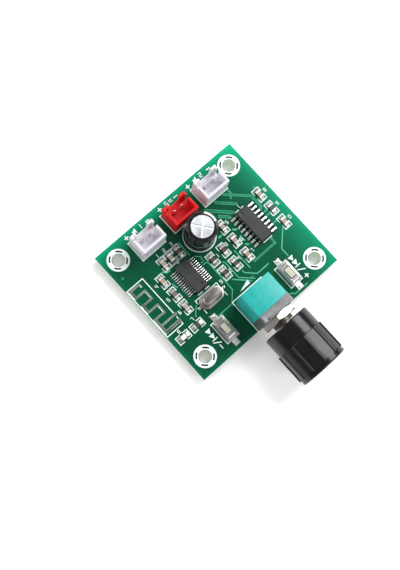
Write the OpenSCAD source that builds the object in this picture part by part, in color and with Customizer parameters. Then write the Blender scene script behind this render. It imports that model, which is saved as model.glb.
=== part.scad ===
// Amplifier module with a wireless input: a green circuit board that carries three wire headers,
// a can capacitor, two chips, a crystal, two push switches, a volume control with its knob, and
// small chip parts. All sizes are millimetres.
// The origin is the centre of the four corner holes on the board's underside. +Z is up, +Y points
// to the edge with the headers, and the volume knob points to -Y.

/* [Board] */
// Board width along X
board_w = 46.8; // [46.6:0.2:50]
// Board depth along Y
board_d = 41.6; // [41.2:0.2:44]
// Board thickness
board_t = 1.6; // [1:0.1:2.4]
// Corner hole spacing along X
hole_pitch_x = 38.4; // [37.6:0.2:39.6]
// Corner hole spacing along Y
hole_pitch_y = 33; // [32:0.2:34.4]
// Corner hole radius
hole_r = 1.6; // [1.3:0.05:1.7]

/* [Wire headers] */
// Header housing width along X
header_w = 7.5; // [6.6:0.1:9]
// Header housing depth along Y
header_d = 5.75; // [5.2:0.05:6]
// Header housing height
header_h = 7; // [6.4:0.1:10]
// Wall thickness of a header housing
header_wall = 0.75; // [0.5:0.05:0.9]
// Width of a square header pin
pin_w = 0.64; // [0.5:0.02:0.7]
// Distance between the two pins of a header
pin_pitch = 2.5; // [2:0.1:2.8]

/* [Can capacitor] */
// Radius over the shrink sleeve
can_r = 4; // [3.4:0.1:4.2]
// Height above the board
can_h = 9.8; // [7:0.2:16]
// Distance between the two leads
can_lead_pitch = 3.5; // [2.5:0.1:4]

/* [Chips and crystal] */
// Height of a chip's moulding above its feet
chip_h = 1.55; // [1.3:0.05:2]
// Height of the crystal above the board
crystal_h = 3; // [2.4:0.1:4]
// Length of a chip part
part_len = 2; // [1.8:0.05:2.2]
// Width of a chip part
part_w = 1.25; // [1:0.05:1.5]

/* [Push switches] */
// Height of the pressed steel cover above the board
cover_h = 1.85; // [1.7:0.05:2.4]
// Height of the plunger above the cover
plunger_up = 0.65; // [0.5:0.05:1.2]
// Clearance between a plunger and the window it slides in
plunger_gap = 0.06; // [0.04:0.01:0.1]

/* [Volume control] */
// Width of the housing
volume_w = 9.5; // [9.4:0.1:11]
// Height of the housing above the board
volume_h = 11.3; // [11:0.1:13]
// Depth of the moulded housing
volume_d = 6.9; // [6.8:0.1:7.4]
// Height of the shaft axis above the board
shaft_up = 6; // [5.8:0.1:6.6]
// Shaft radius
shaft_r = 2; // [1.7:0.05:2.2]
// Radial clearance between shaft and bushing
shaft_gap = 0.05; // [0.02:0.01:0.09]
// Width of the nut across its flats
nut_af = 9.2; // [8:0.1:9.4]

/* [Knob] */
// Radius over the ridges
knob_r = 7.07; // [6.6:0.05:7.4]
// Length of the knob
knob_len = 14.5; // [13:0.5:20]
// Number of ridges
knob_ridges = 11; // [9:1:12]

/* [Hidden] */
$fn = 48;
// height of the print, of the tracks under the mask, and of the solder that parts stand on
print_h = 0.04;
track_h = 0.03;
seat = 0.05;
top_z = board_t;
seat_z = board_t + seat;
// solder side
joint_h = 1.1;
tail_z = -1.4;
// headers: x positions, and y from the header edge of the board
header_xs = [-10.57, 0.38, 10.98];
header_edge = 2.8;
header_y = board_d / 2 - header_edge - header_d / 2;
header_front = header_y - header_d / 2;
front_y = -board_d / 2;
header_floor = 2.4;
header_mouth = header_w / 2;
header_pin_y = header_y + 0.65;
header_slot_y = header_y + 1.25;
header_slot = 0.95;
header_notch = 0.8;
// can capacitor
can_x = 0.75;
can_gap = 0.65;
can_y = header_front - can_gap - can_r;
sleeve_t = 0.12;
can_wall = 0.3;
// chips, crystal, chip parts and switches: lengths along Y, with the pads
chip_w = 3.9;
amp_len = 9.9;
blue_len = 8.65;
lead_reach = 3;
xtal_half = 1.65;
xtal_r = 2;
pad_half = part_len / 2 + 0.7;
tab_reach = 4.9;
tab_pad = 0.15;
tab_half = tab_reach + tab_pad;
xtal_reach = 4.3;
// from the left header to the front edge stand a row of capacitors, a chip, the crystal and a
// switch: the gaps between them, and the one at the edge, share what is left of the board's depth
column_gaps = [2.49, 1.035, 1.175, 1.2, 1];
column_len = 2 * pad_half + blue_len + 2 * xtal_r + 2 * tab_half;
ease = (header_front - front_y - column_len) / (column_gaps * [1, 1, 1, 1, 1]);
row_y = header_front - ease * column_gaps[0] - pad_half;
blue_y = row_y - pad_half - ease * column_gaps[1] - blue_len / 2;
xtal_y = blue_y - blue_len / 2 - ease * column_gaps[2] - xtal_r;
switch_y = xtal_y - xtal_r - ease * column_gaps[3] - tab_half;
amp_c = [13.38, 0.55];
blue_c = [-8.13, blue_y];
xtal_c = [-7.9, xtal_y];
// chip parts: how far the end caps reach along the part, their thickness, and part heights
cap_e = 0.4;
cap_t = 0.03;
ceramic_h = 0.9;
film_h = 0.5;
// the input parts stand in two rows of two in front of the can capacitor
input_ys = [can_y - can_r - 1.25 - pad_half, can_y - can_r - 2.45 - 3 * pad_half];
// push switches
prev_c = [-10.8, switch_y];
next_c = [11.25, switch_y - 0.3];
cover_w = 3.5;
cover_l = 6;
sheet = 0.15;
base_w = cover_w - 2 * sheet;
base_l = cover_l - 2 * sheet;
well_w = 2.1;
well_l = 3.7;
well_z = 0.55;
plunger_w = 1.5;
plunger_l = 2.8;
dome_h = 0.3;
dome_r = 1;
// volume control: distances along the shaft count forward from the face of the front plate
volume_x = 0.3;
plate_t = 2.35;
plate_y = front_y - 0.2;
shaft_z = board_t + shaft_up;
housing_y = plate_y + plate_t;
chamber_r = min(4, volume_w / 2 - 0.7, shaft_up - 1.7, volume_h - shaft_up - 0.9);
chamber_end = -plate_t - volume_d + 0.75;
bushing_r = shaft_r + 0.95;
bushing_front = 2.9;
nut_t = 1.8;
nut_turn = 45;
tang_r = 1.1;
hub_r = 1.5;
rotor_r = chamber_r - 0.6;
wafer_t = 0.6;
gang_fs = [-3, -6.2];
knob_back = 3.1;
knob_core = knob_r - 0.25;
collar_len = 5.2;
ridge_turn = 2.2;
pointer_turn = -3.5;

// A box given by its centre in X and Y, its lower z, and its size.
module block(c, z, s) {
    translate([c[0] - s[0] / 2, c[1] - s[1] / 2, z])
        cube(s);
}

// Direction from one point to the next, and the same turned a quarter turn to the left.
function heading(p, i) = (p[i + 1] - p[i]) / norm(p[i + 1] - p[i]);
function leftward(d) = [-d[1], d[0]];

// The corner of a track's outline beside point i, h to the left of the path, mitred.
function beside(p, i, h) =
    i == 0 ? p[0] + h * leftward(heading(p, 0)) :
    i == len(p) - 1 ? p[i] + h * leftward(heading(p, i - 1)) :
    let (a = leftward(heading(p, i - 1)), b = leftward(heading(p, i)), m = (a + b) / norm(a + b))
    p[i] + m * h / (m * a);

// A flat line of width w along the points p, used for tracks and for printed strokes.
module stroke(p, w, z, h) {
    n = len(p) - 1;
    translate([0, 0, z])
        linear_extrude(h)
            polygon(concat([for (i = [0:n]) beside(p, i, w / 2)],
                [for (i = [n:-1:0]) beside(p, i, -w / 2)]));
}

// Everything that stands through the board has its place here.
module header_pin_places() {
    for (x = header_xs)
        for (s = [-0.5, 0.5])
            translate([x + s * pin_pitch, header_pin_y, 0])
                children();
}
module can_lead_places() {
    for (s = [-0.5, 0.5])
        translate([can_x + s * can_lead_pitch, can_y, 0])
            children();
}
module volume_pin_places() {
    for (f = gang_fs)
        for (x = [-2.5, 0, 2.5])
            translate([volume_x + x, plate_y - f - wafer_t / 2, 0])
                children();
}
module plate_leg_places() {
    for (s = [-1, 1])
        translate([volume_x + s * (volume_w / 2 - 0.5), plate_y + 1.5, 0])
            children();
}
module corner_places() {
    for (x = [-1, 1])
        for (y = [-1, 1])
            translate([x * hole_pitch_x / 2, y * hole_pitch_y / 2, 0])
                children();
}

// Circuit board: fibreglass plate, drilled, with the copper tracks showing as low relief under
// the mask. The tracks stop where the print lies over them.
module track(p, w) {
    stroke(p, w, top_z - 0.01, track_h + 0.01);
}
module header_tracks() {
    track([[6.2, 11.7], [11.7, 6.2]], 0.8);
    track([[9.9, 11.7], [9.9, 11.3], [13.9, 7.4]], 0.7);
    track([[12.7, 11.8], [18.15, 6.5], [18.2, 3], [17.5, 2.3]], 0.6);
    track([[7.9, 8.2], [9.9, 6.2], [9.9, 5.6]], 0.7);
    track([[3.9, 3.9], [5.2, 3.9]], 0.6);
    track([[8.2, 3.3], [9.2, 2.3]], 0.6);
    track([[8.7, 0.8], [8.7, -1.2]], 0.5);
    track([[8.1, -1.7], [9, -2.6]], 0.5);
    track([[17.6, 1.2], [18.6, 1.2]], 0.35);
    track([[17.6, 0], [18.6, 0]], 0.35);
    track([[17.6, -2.6], [18.6, -2.6]], 0.35);
}
module power_tracks() {
    track([[14.3, -4.8], [14.3, -6.7], [6.8, -6.7]], 0.5);
    track([[18.5, -5.1], [14.5, -9], [14.5, -11.6]], 0.45);
    y = input_ys[1] - pad_half;
    track([[-0.7, y - 0.75], [3.1, y - 4.55]], 0.45);
    track([[0.5, -1.4], [0.95, -2], [0.95, -7.2], [4.1, -10.3]], 0.4);
    track([[2.9, y - 0.65], [2.9, y - 1.55], [5.3, y - 3.95], [9.4, y - 3.95]], 0.45);
    track([[4.9, -1], [4.9, -7.4]], 0.4);
}
module chip_tracks() {
    track([[-3.9, 4.4], [-2.6, 3.2]], 0.35);
    track([[-3.9, 2], [-2.6, 2]], 0.3);
    track([[-3.9, 1.3], [-2.8, 1.3], [-2.35, 0.85], [-2.35, -8.4], [-4.6, -10.7]], 0.4);
    track([[-4.6, 9.9], [-4.6, 5.3]], 0.5);
    track([[-13.1, 6.9], [-12, 5.8], [-10.9, 5.8]], 0.4);
    track([[-12.9, 3], [-12.8, 1.6], [-12.4, 1.2]], 0.35);
    track([[-14, -7.7], [-14, -7.2], [-12.05, -5.25]], 0.35);
    track([[-9.9, -11.1], [-5, -11.1]], 0.4);
    track([[13.5, 9.5], [14.6, 10.6], [14.6, 11.8]], 0.4);
    track([[7.9, front_y + 1.9], [9.2, front_y + 0.8], [next_c[0] - 0.9, front_y + 0.8]], 0.35);
    track([[next_c[0] + 0.9, front_y + 0.8], [13.4, front_y + 0.8]], 0.35);
    track([[-18.6, 9.4], [-15.6, 11.8], [-15.6, 15.2]], 0.4);
}
module circuit_board() {
    color("seagreen")
        difference() {
            union() {
                block([0, 0], 0, [board_w, board_d, board_t]);
                difference() {
                    union() {
                        header_tracks();
                        power_tracks();
                        chip_tracks();
                    }
                    crossing_print();
                }
            }
            translate([0, 0, -1]) {
                corner_places()
                    cylinder(r = hole_r, h = board_t + 2);
                header_pin_places()
                    cylinder(r = pin_w * 0.7072 + 0.08, h = board_t + 2);
                can_lead_places()
                    cylinder(r = 0.4, h = board_t + 2);
                volume_pin_places()
                    cylinder(r = 0.5, h = board_t + 2);
                plate_leg_places()
                    block([0, 0], 0, [0.9, 1.5, board_t + 2]);
            }
        }
}

// Printed legend: a thin white layer on the mask.
module frame_print(c, s, line) {
    difference() {
        block(c, top_z, [s[0], s[1], print_h]);
        block(c, top_z - 1, [s[0] - 2 * line, s[1] - 2 * line, 2]);
    }
}
// Two brackets that embrace the ends of a chip part lying along Y.
module bracket_print(c, s, leg, line) {
    for (e = [0, 180])
        translate([c[0], c[1], top_z])
            rotate(e)
                linear_extrude(print_h)
                    polygon([[-s[0] / 2, s[1] / 2], [-s[0] / 2, s[1] / 2 - leg],
                        [-s[0] / 2 + line, s[1] / 2 - leg], [-s[0] / 2 + line, s[1] / 2 - line],
                        [s[0] / 2 - line, s[1] / 2 - line], [s[0] / 2 - line, s[1] / 2 - leg],
                        [s[0] / 2, s[1] / 2 - leg], [s[0] / 2, s[1] / 2]]);
}
module ring_print() {
    difference() {
        cylinder(r = 3, h = print_h);
        translate([0, 0, -1])
            cylinder(r = hole_r + 0.1, h = 2);
        for (a = [23:90:293])
            rotate(a)
                translate([0, 0, -1])
                    rotate_extrude(angle = 44)
                        translate([2.06, 0])
                            square([0.42, 2]);
    }
}
module bar_print(c, s) {
    block(c, top_z, [s[0], s[1], print_h]);
}
module plus_print(c) {
    bar_print(c, [1.3, 0.28]);
    bar_print(c, [0.28, 1.3]);
}
module minus_print(c) {
    bar_print(c, [1.2, 0.28]);
}
// Plain figures made of seven bars, 0.62 wide and 1.05 high, or larger by k.
bars = [[0, 0.45, 0.62, 0.14], [0.24, 0.23, 0.14, 0.6], [0.24, -0.23, 0.14, 0.6],
    [0, -0.45, 0.62, 0.14], [-0.24, -0.23, 0.14, 0.6], [-0.24, 0.23, 0.14, 0.6],
    [0, 0, 0.62, 0.14]];
lit = [[0, 1, 2, 3, 4, 5], [1, 2], [0, 1, 6, 4, 3], [0, 1, 2, 3, 6], [5, 6, 1, 2],
    [0, 5, 6, 2, 3], [0, 5, 4, 3, 2, 6], [0, 1, 2], [0, 1, 2, 3, 4, 5, 6], [0, 1, 2, 3, 5, 6]];
module figure_print(n, c, k = 1) {
    for (b = lit[n])
        bar_print([c[0] + k * bars[b][0], c[1] + k * bars[b][1]], [k * bars[b][2], k * bars[b][3]]);
}
// A double triangle that points to -Y with a bar at its tip: skip to the next or previous piece.
module skip_print(c) {
    for (y = [0, -1.5])
        translate([c[0], c[1] + y, top_z])
            linear_extrude(print_h)
                polygon([[-0.8, 0], [0.8, 0], [0, -1.4]]);
    bar_print([c[0], c[1] - 3.05], [1.7, 0.3]);
}
// A loudspeaker: magnet and cone.
module speaker_print(c) {
    bar_print([c[0] - 0.55, c[1]], [0.5, 0.6]);
    translate([c[0], c[1], top_z])
        linear_extrude(print_h)
            polygon([[-0.25, -0.3], [0.35, -0.75], [0.35, 0.75], [-0.25, 0.3]]);
}
// Outlines that tracks run under.
module crossing_print() {
    for (x = header_xs)
        frame_print([x - 0.05, header_y], [header_w + 0.55, header_d + 0.5], 0.28);
    translate([can_x, can_y, top_z])
        difference() {
            cylinder(r = can_r + 0.45, h = print_h);
            translate([0, 0, -1])
                cylinder(r = can_r + 0.15, h = 2);
        }
    volume_outline();
    switch_outlines();
    bar_print([13.5, -4.75], [3, 0.25]);
}
module volume_outline() {
    back = housing_y + volume_d + 0.95;
    front = front_y;
    for (s = [-1, 1])
        bar_print([volume_x + s * (volume_w / 2 + 0.3), (back + front) / 2], [0.28, back - front]);
    bar_print([volume_x, back - 0.14], [volume_w + 0.6, 0.28]);
}
module switch_outlines() {
    frame_print(prev_c, [4.2, 6.7], 0.28);
    frame_print(next_c, [4.2, 6.7], 0.28);
}
module part_outlines() {
    for (x = [-11.2, -8.75, -6.25])
        bracket_print([x, row_y], [2.35, 3.9], 1.5, 0.22);
    for (y = [4.88, 0.4, -3.9])
        bracket_print([-14.4, y], [2.35, 3.9], 1.5, 0.22);
    for (x = [-0.95, 2.85])
        for (y = input_ys)
            bracket_print([x, y], [2.35, 3.9], 1.5, 0.22);
    for (y = [5.3, 0.65, -4.2])
        bracket_print([6.7, y], [2.35, 3.9], 1.5, 0.22);
    for (y = [5.45, 0.65, -4.15])
        bracket_print([19.9, y], [2.35, 3.9], 1.5, 0.22);
    rotate(90) {
        bracket_print([-9.3, 20], [2.35, 4.05], 1.6, 0.22);
        bracket_print([-9.3, 15.35], [2.35, 4.05], 1.6, 0.22);
    }
}
module part_figures() {
    figure_print(1, [-11.2, row_y + 2.69]);
    figure_print(2, [-8.75, row_y + 2.69]);
    figure_print(3, [-6.25, row_y + 2.69]);
    figure_print(4, [-16.5, 4.9]);
    figure_print(5, [-16.5, 0.4]);
    figure_print(6, [-16.5, -3.9]);
    figure_print(7, [-15.3, -7.35]);
    figure_print(8, [-20, -7.5]);
    figure_print(9, [-3.2, xtal_y + 1.5]);
    figure_print(1, [0.55, 0.65]);
    figure_print(2, [0.5, -4.4]);
    figure_print(3, [4.4, 1.4]);
    figure_print(4, [4.4, -3.4]);
    figure_print(5, [8.5, 5.6]);
    figure_print(6, [8.3, -0.2]);
    figure_print(7, [8.4, -4.2]);
    figure_print(8, [21.9, 5.5]);
    figure_print(9, [21.9, 0.7]);
    figure_print(0, [21.9, -4.1]);
    figure_print(1, [13.4, 6.75]);
    figure_print(2, [-8.1, blue_y + 5.2]);
}
module legend_print() {
    color("white")
        difference() {
            union() {
                crossing_print();
                part_outlines();
                part_figures();
                edge_marks();
                chip_marks();
                switch_marks();
                translate([0, 0, top_z])
                    corner_places()
                        ring_print();
            }
            translate([0, -board_d, 0])
                block([0, -board_d / 2 + 0.01], -1, [board_w, board_d, board_t + 3]);
        }
}
// Signs beside each header: plus and minus for its two pins, and what is wired there.
module edge_marks() {
    y = board_d / 2 - 1.35;
    plus_print([-13.8, y]);
    speaker_print([-11, y]);
    figure_print(1, [-9.3, y], 1.3);
    minus_print([-6.8, y]);
    plus_print([-2.4, y]);
    figure_print(5, [-0.1, y], 1.35);
    bar_print([1.3, y + 0.25], [1, 0.2]);
    bar_print([1.3, y - 0.25], [1, 0.2]);
    minus_print([3, y]);
    plus_print([7.2, y - 0.2]);
    speaker_print([10, y]);
    figure_print(2, [11.8, y], 1.3);
    minus_print([14.4, y]);
}
// A line round the antenna, open where the antenna's two feeds come in.
module antenna_print() {
    left = 0.31 - board_w / 2;
    right = left + 5.3;
    stroke([[right, -6.05], [right, -6.58], [left, -6.58], [left, 8.88], [right, 8.88],
        [right, -3]], 0.25, top_z, print_h);
    bar_print([right, -4.45], [0.25, 0.75]);
}
module chip_marks() {
    bar_print([-9.25, xtal_y + 2.75], [1.5, 0.24]);
    bar_print([-6.9, xtal_y + 2.75], [1.4, 0.24]);
    bar_print([12.5, 5.95], [1.2, 0.24]);
    bar_print([14.2, 5.95], [1, 0.24]);
    bar_print([-7.95, xtal_y + 2.08], [7.5, 0.24]);
    for (x = [-11.58, -4.32])
        bar_print([x, xtal_y + 1.5], [0.24, 0.95]);
    for (x = [-11.4, -4.3])
        bar_print([x, xtal_y - 1.55], [0.24, 1.3]);
    antenna_print();
    // a wedge that grows to the right, for the volume
    translate([-1.3, housing_y + volume_d + 1.55, top_z])
        linear_extrude(print_h)
            polygon([[0, 0], [3.5, 0], [3.5, 1.1]]);
}
module switch_marks() {
    skip_print([prev_c[0] - 3.55, switch_y + 2.85]);
    stroke([[-15.4, -15.4], [-13.5, -16.6]], 0.28, top_z, print_h);
    bar_print([-14.4, -17.4], [0.28, 1.3]);
    skip_print([next_c[0] + 3.4, switch_y + 2.85]);
    stroke([[13.7, -15.8], [15.6, -16.9]], 0.28, top_z, print_h);
    plus_print([14.6, -18.4]);
}

// Antenna: a folded track of bare tinned copper beside the edge of the board.
module antenna_bar(x0, x1, y, w) {
    block([(x0 + x1) / 2, y], top_z, [x1 - x0, w, track_h + 0.02]);
}
module antenna_track() {
    color("lightgray") {
        left = -board_w / 2;
        for (y = [8.3, 6.1, 3.45, 1.3, -1.25])
            antenna_bar(left + 0.5, left + 4.3, y, 0.5);
        antenna_bar(left + 0.5, left + 6.2, -3.45, 0.5);
        for (y = [7.2, 2.42, -2.3])
            block([left + 0.9, y], top_z, [0.8, 2.7, track_h + 0.02]);
        for (y = [4.85, 0.05])
            block([left + 4.05, y], top_z, [0.5, 2.9, track_h + 0.02]);
        block([left + 4.05, 7.8], top_z, [0.5, 1, track_h + 0.02]);
        block([left + 0.9, -4.5], top_z, [0.8, 2.8, track_h + 0.02]);
        antenna_bar(left + 1.2, left + 5.9, -5.45, 0.85);
    }
}

// Solder: a filled pad under every surface terminal, and a cone round every lead on the
// underside.
module part_solder(c, turn, h) {
    for (e = [0, 180])
        translate([c[0], c[1], top_z])
            rotate(turn + e)
                rotate([90, 0, 0])
                    translate([0, 0, -part_w / 2 - 0.05])
                        linear_extrude(part_w + 0.1)
                            polygon([[part_len / 2 - 0.5, 0], [part_len / 2 + 0.7, 0],
                                [part_len / 2 + 0.66, 0.05], [part_len / 2 + 0.3, 0.13],
                                [part_len / 2 + 0.1, h * 0.3], [part_len / 2, h * 0.6],
                                [part_len / 2, seat], [part_len / 2 - 0.5, seat]]);
}
module lead_solder(c, n, pitch, w) {
    for (e = [0, 180])
        for (i = [0:n - 1])
            translate([c[0], c[1] + (i - (n - 1) / 2) * pitch, top_z])
                rotate(e)
                    rotate([90, 0, 0])
                        translate([0, 0, -w / 2])
                            linear_extrude(w)
                                polygon([[lead_reach - 0.65, 0], [lead_reach + 0.92, 0],
                                    [lead_reach + 0.88, 0.05], [lead_reach + 0.3, 0.09],
                                    [lead_reach, 0.2], [lead_reach, seat],
                                    [lead_reach - 0.65, seat]]);
}
module tab_solder(c, turn, reach, w, back, out) {
    for (e = [0, 180])
        translate([c[0], c[1], top_z])
            rotate(turn + e)
                rotate([90, 0, 0])
                    translate([0, 0, -w / 2])
                        linear_extrude(w)
                            polygon([[reach - back, 0], [reach + out, 0],
                                [reach + 0.9 * out, 0.06], [reach + 0.4 * out, 0.12],
                                [reach, 0.18], [reach, seat], [reach - back, seat]]);
}
module joint(r) {
    translate([0, 0, -joint_h])
        cylinder(r1 = r * 0.5, r2 = r, h = joint_h);
}
module surface_solder() {
    for (p = part_places)
        part_solder([p[0], p[1]], p[2], p[3]);
    lead_solder(amp_c, 8, 1.27, 0.62);
    lead_solder(blue_c, 12, 0.635, 0.4);
    tab_solder(xtal_c, 0, xtal_reach, 1, 0.6, 0.4);
    tab_solder(prev_c, 90, tab_reach, 1.7, 1.6, tab_pad);
    tab_solder(next_c, 90, tab_reach, 1.7, 1.6, tab_pad);
}
module joint_solder() {
    header_pin_places()
        difference() {
            joint(0.95);
            block([0, 0], -5, [pin_w, pin_w, 6]);
        }
    can_lead_places()
        difference() {
            joint(0.9);
            translate([0, 0, -5])
                cylinder(r = 0.3, h = 6);
        }
    volume_pin_places()
        difference() {
            joint(0.95);
            block([0, 0], -5, [0.8, 0.3, 6]);
        }
    plate_leg_places()
        difference() {
            joint(1.2);
            block([0, 0], -5, [0.7, 1.3, 6]);
        }
}
module solder_joints() {
    color("silver") {
        surface_solder();
        joint_solder();
    }
}

// Wire headers: a moulded housing, open at the top and cut out towards the board's edge, round
// two square pins. The right wall has a deep slot and the left wall a shallow notch.
module header_housing(x) {
    difference() {
        block([x, header_y], seat_z, [header_w, header_d, header_h]);
        block([x, header_y], seat_z + header_floor,
            [header_w - 2 * header_wall, header_d - 2 * header_wall, header_h]);
        block([x, header_y + header_d / 2], seat_z + header_floor,
            [header_mouth, 3 * header_wall, header_h]);
        block([x + header_w / 2, header_slot_y], seat_z + header_floor,
            [3 * header_wall, header_slot, header_h]);
        block([x - header_w / 2, header_slot_y], seat_z + header_h - header_notch,
            [3 * header_wall, header_slot, header_h]);
        for (s = [-0.5, 0.5])
            block([x + s * pin_pitch, header_pin_y], -5, [pin_w, pin_w, 20]);
    }
}
module pin_profile() {
    h = pin_w / 2;
    z0 = tail_z;
    z1 = seat_z + 5.7;
    translate([0, 0, -h])
        linear_extrude(pin_w)
            polygon([[-h / 2, z0], [h / 2, z0], [h, z0 + 0.25], [h, z1 - 0.6], [h / 3, z1],
                [-h / 3, z1], [-h, z1 - 0.6], [-h, z0 + 0.25]]);
}
module header_pins(x) {
    for (s = [-0.5, 0.5])
        translate([x + s * pin_pitch, header_pin_y, 0])
            intersection() {
                rotate([90, 0, 0])
                    pin_profile();
                rotate([90, 0, 90])
                    pin_profile();
            }
}
module left_output_header() {
    color("white")
        header_housing(header_xs[0]);
}
module left_output_pins() {
    color("silver")
        header_pins(header_xs[0]);
}
module power_header() {
    color("red")
        header_housing(header_xs[1]);
}
module power_pins() {
    color("silver")
        header_pins(header_xs[1]);
}
module right_output_header() {
    color("white")
        header_housing(header_xs[2]);
}
module right_output_pins() {
    color("silver")
        header_pins(header_xs[2]);
}

// Can capacitor: an aluminium can drawn in one piece, crimped round a rubber bung, with the
// wound element inside and a shrink sleeve outside. The top is scored with a cross.
module capacitor_can() {
    r = can_r - sleeve_t;
    t = can_wall;
    color("gainsboro")
        translate([can_x, can_y, top_z])
            difference() {
                rotate_extrude()
                    polygon([[0, can_h - t], [r - t - 0.3, can_h - t], [r - t, can_h - t - 0.3],
                        [r - t, 2.1], [r - t - 0.25, 1.8], [r - t - 0.25, 1.4], [r - t, 1.1],
                        [r - t, 0.35], [r, 0.35], [r, 1.2], [r - 0.25, 1.5], [r - 0.25, 1.7],
                        [r, 2], [r, can_h - 0.45], [r - 0.12, can_h - 0.15],
                        [r - 0.45, can_h], [0, can_h]]);
                for (a = [-53, 43])
                    rotate(a)
                        block([0, 0], can_h - 0.1, [2 * r - 2.2, 0.16, 1]);
            }
}
module capacitor_sleeve() {
    r = can_r;
    i = can_r - sleeve_t;
    color("black")
        translate([can_x, can_y, top_z])
            rotate_extrude()
                polygon([[i, 0.25], [r, 0.25], [r, 1.2], [r - 0.25, 1.5], [r - 0.25, 1.7], [r, 2],
                    [r, can_h - 0.4], [r - 0.15, can_h - 0.02], [r - 0.5, can_h + sleeve_t],
                    [r - 1.05, can_h + sleeve_t], [r - 1.05, can_h], [i - 0.45, can_h],
                    [i - 0.12, can_h - 0.15], [i, can_h - 0.45], [i, 2], [i - 0.25, 1.7],
                    [i - 0.25, 1.5], [i, 1.2]]);
}
module capacitor_bung() {
    r = can_r - sleeve_t - can_wall;
    color("dimgray")
        translate([can_x, can_y, top_z])
            difference() {
                rotate_extrude()
                    polygon([[0, seat], [r - 0.3, seat], [r - 0.3, 0.35], [r, 0.35], [r, 1.1],
                        [r - 0.25, 1.4], [r - 0.25, 1.6], [0, 1.6]]);
                for (s = [-0.5, 0.5])
                    translate([s * can_lead_pitch, 0, -1])
                        cylinder(r = 0.3, h = 4);
            }
}
module capacitor_winding() {
    color("tan")
        translate([can_x, can_y, top_z + 1.6])
            cylinder(r = can_r - sleeve_t - can_wall - 0.3, h = can_h - can_wall - 2.2);
}
module capacitor_leads() {
    color("silver")
        can_lead_places()
            translate([0, 0, tail_z])
                cylinder(r = 0.3, h = top_z + 1.6 - tail_z);
}

// Chips: a moulding with drafted sides and a row of bent leads down each side.
module moulding(w, l, h) {
    m = h * 0.5;
    intersection() {
        rotate([90, 0, 0])
            translate([0, 0, -l])
                linear_extrude(2 * l)
                    polygon([[-w / 2 + 0.1, 0.12], [w / 2 - 0.1, 0.12], [w / 2, m - 0.1],
                        [w / 2, m + 0.1], [w / 2 - 0.14, h], [-w / 2 + 0.14, h],
                        [-w / 2, m + 0.1], [-w / 2, m - 0.1]]);
        rotate([90, 0, 90])
            translate([0, 0, -w])
                linear_extrude(2 * w)
                    polygon([[-l / 2 + 0.1, 0.12], [l / 2 - 0.1, 0.12], [l / 2, m - 0.1],
                        [l / 2, m + 0.1], [l / 2 - 0.14, h], [-l / 2 + 0.14, h],
                        [-l / 2, m + 0.1], [-l / 2, m - 0.1]]);
    }
}
module bent_leads(n, pitch, w, t) {
    m = chip_h * 0.5;
    for (e = [0, 180])
        rotate(e)
            for (i = [0:n - 1])
                translate([0, (i - (n - 1) / 2) * pitch, 0])
                    rotate([90, 0, 0])
                        translate([0, 0, -w / 2])
                            linear_extrude(w)
                                polygon([[1.7, m - t / 2], [2.1, m - t / 2], [2.35, 0],
                                    [lead_reach, 0], [lead_reach, t], [2.35 + t * 0.8, t],
                                    [2.1 + t * 0.8, m + t / 2], [1.7, m + t / 2]]);
}
module amplifier_leads() {
    color("silver")
        translate([amp_c[0], amp_c[1], seat_z])
            bent_leads(8, 1.27, 0.42, 0.2);
}
module amplifier_chip() {
    color("dimgray")
        difference() {
            translate([amp_c[0], amp_c[1], seat_z])
                moulding(chip_w, amp_len, chip_h);
            translate([amp_c[0], amp_c[1], seat_z])
                bent_leads(8, 1.27, 0.42, 0.2);
            translate([amp_c[0] - 0.88, amp_c[1] + 4.05, seat_z + chip_h - 0.08])
                cylinder(r = 0.45, h = 1);
        }
}
module bluetooth_leads() {
    color("silver")
        translate([blue_c[0], blue_c[1], seat_z])
            bent_leads(12, 0.635, 0.26, 0.18);
}
module bluetooth_chip() {
    color("dimgray")
        difference() {
            translate([blue_c[0], blue_c[1], seat_z])
                moulding(chip_w, blue_len, chip_h);
            translate([blue_c[0], blue_c[1], seat_z])
                bent_leads(12, 0.635, 0.26, 0.18);
            translate([blue_c[0] + 0.6, blue_c[1] - 3.1, seat_z + chip_h - 0.08])
                cylinder(r = 0.42, h = 1);
        }
}

// Crystal: a drawn can with a welded flange on a moulded base, and a flat terminal at each end.
// The shape is a half profile p swept round an oblong.
module oblong(half, p) {
    n = len(p) - 1;
    translate([-half, 0, 0])
        rotate([90, 0, 90])
            linear_extrude(2 * half)
                polygon(concat(p, [for (i = [n:-1:0]) [-p[i][0], p[i][1]]]));
    for (e = [0, 180])
        rotate(e)
            translate([half, 0, 0])
                rotate(-90)
                    rotate_extrude(angle = 180)
                        polygon(concat([[0, p[0][1]]], p, [[0, p[n][1]]]));
}
module crystal_terminal_shapes() {
    for (e = [-1, 1])
        block([xtal_c[0] + e * (xtal_reach + 2.2) / 2, xtal_c[1]], seat_z,
            [xtal_reach - 2.2, 0.8, 0.15]);
}
module crystal_terminals() {
    color("silver")
        crystal_terminal_shapes();
}
module crystal_base() {
    color("black")
        difference() {
            translate([xtal_c[0], xtal_c[1], seat_z])
                oblong(xtal_half, [[1.95, 0], [1.95, 0.45]]);
            crystal_terminal_shapes();
        }
}
module crystal_can() {
    z = seat_z + 0.45;
    h = crystal_h - seat - 0.45;
    color("tan")
        translate([xtal_c[0], xtal_c[1], z])
            oblong(xtal_half, [[2, 0], [2, 0.3], [1.85, 0.38], [1.42, 0.4], [1.36, 0.5],
                [1.3, h - 0.45], [1.15, h - 0.15], [0.9, h]]);
}

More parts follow.
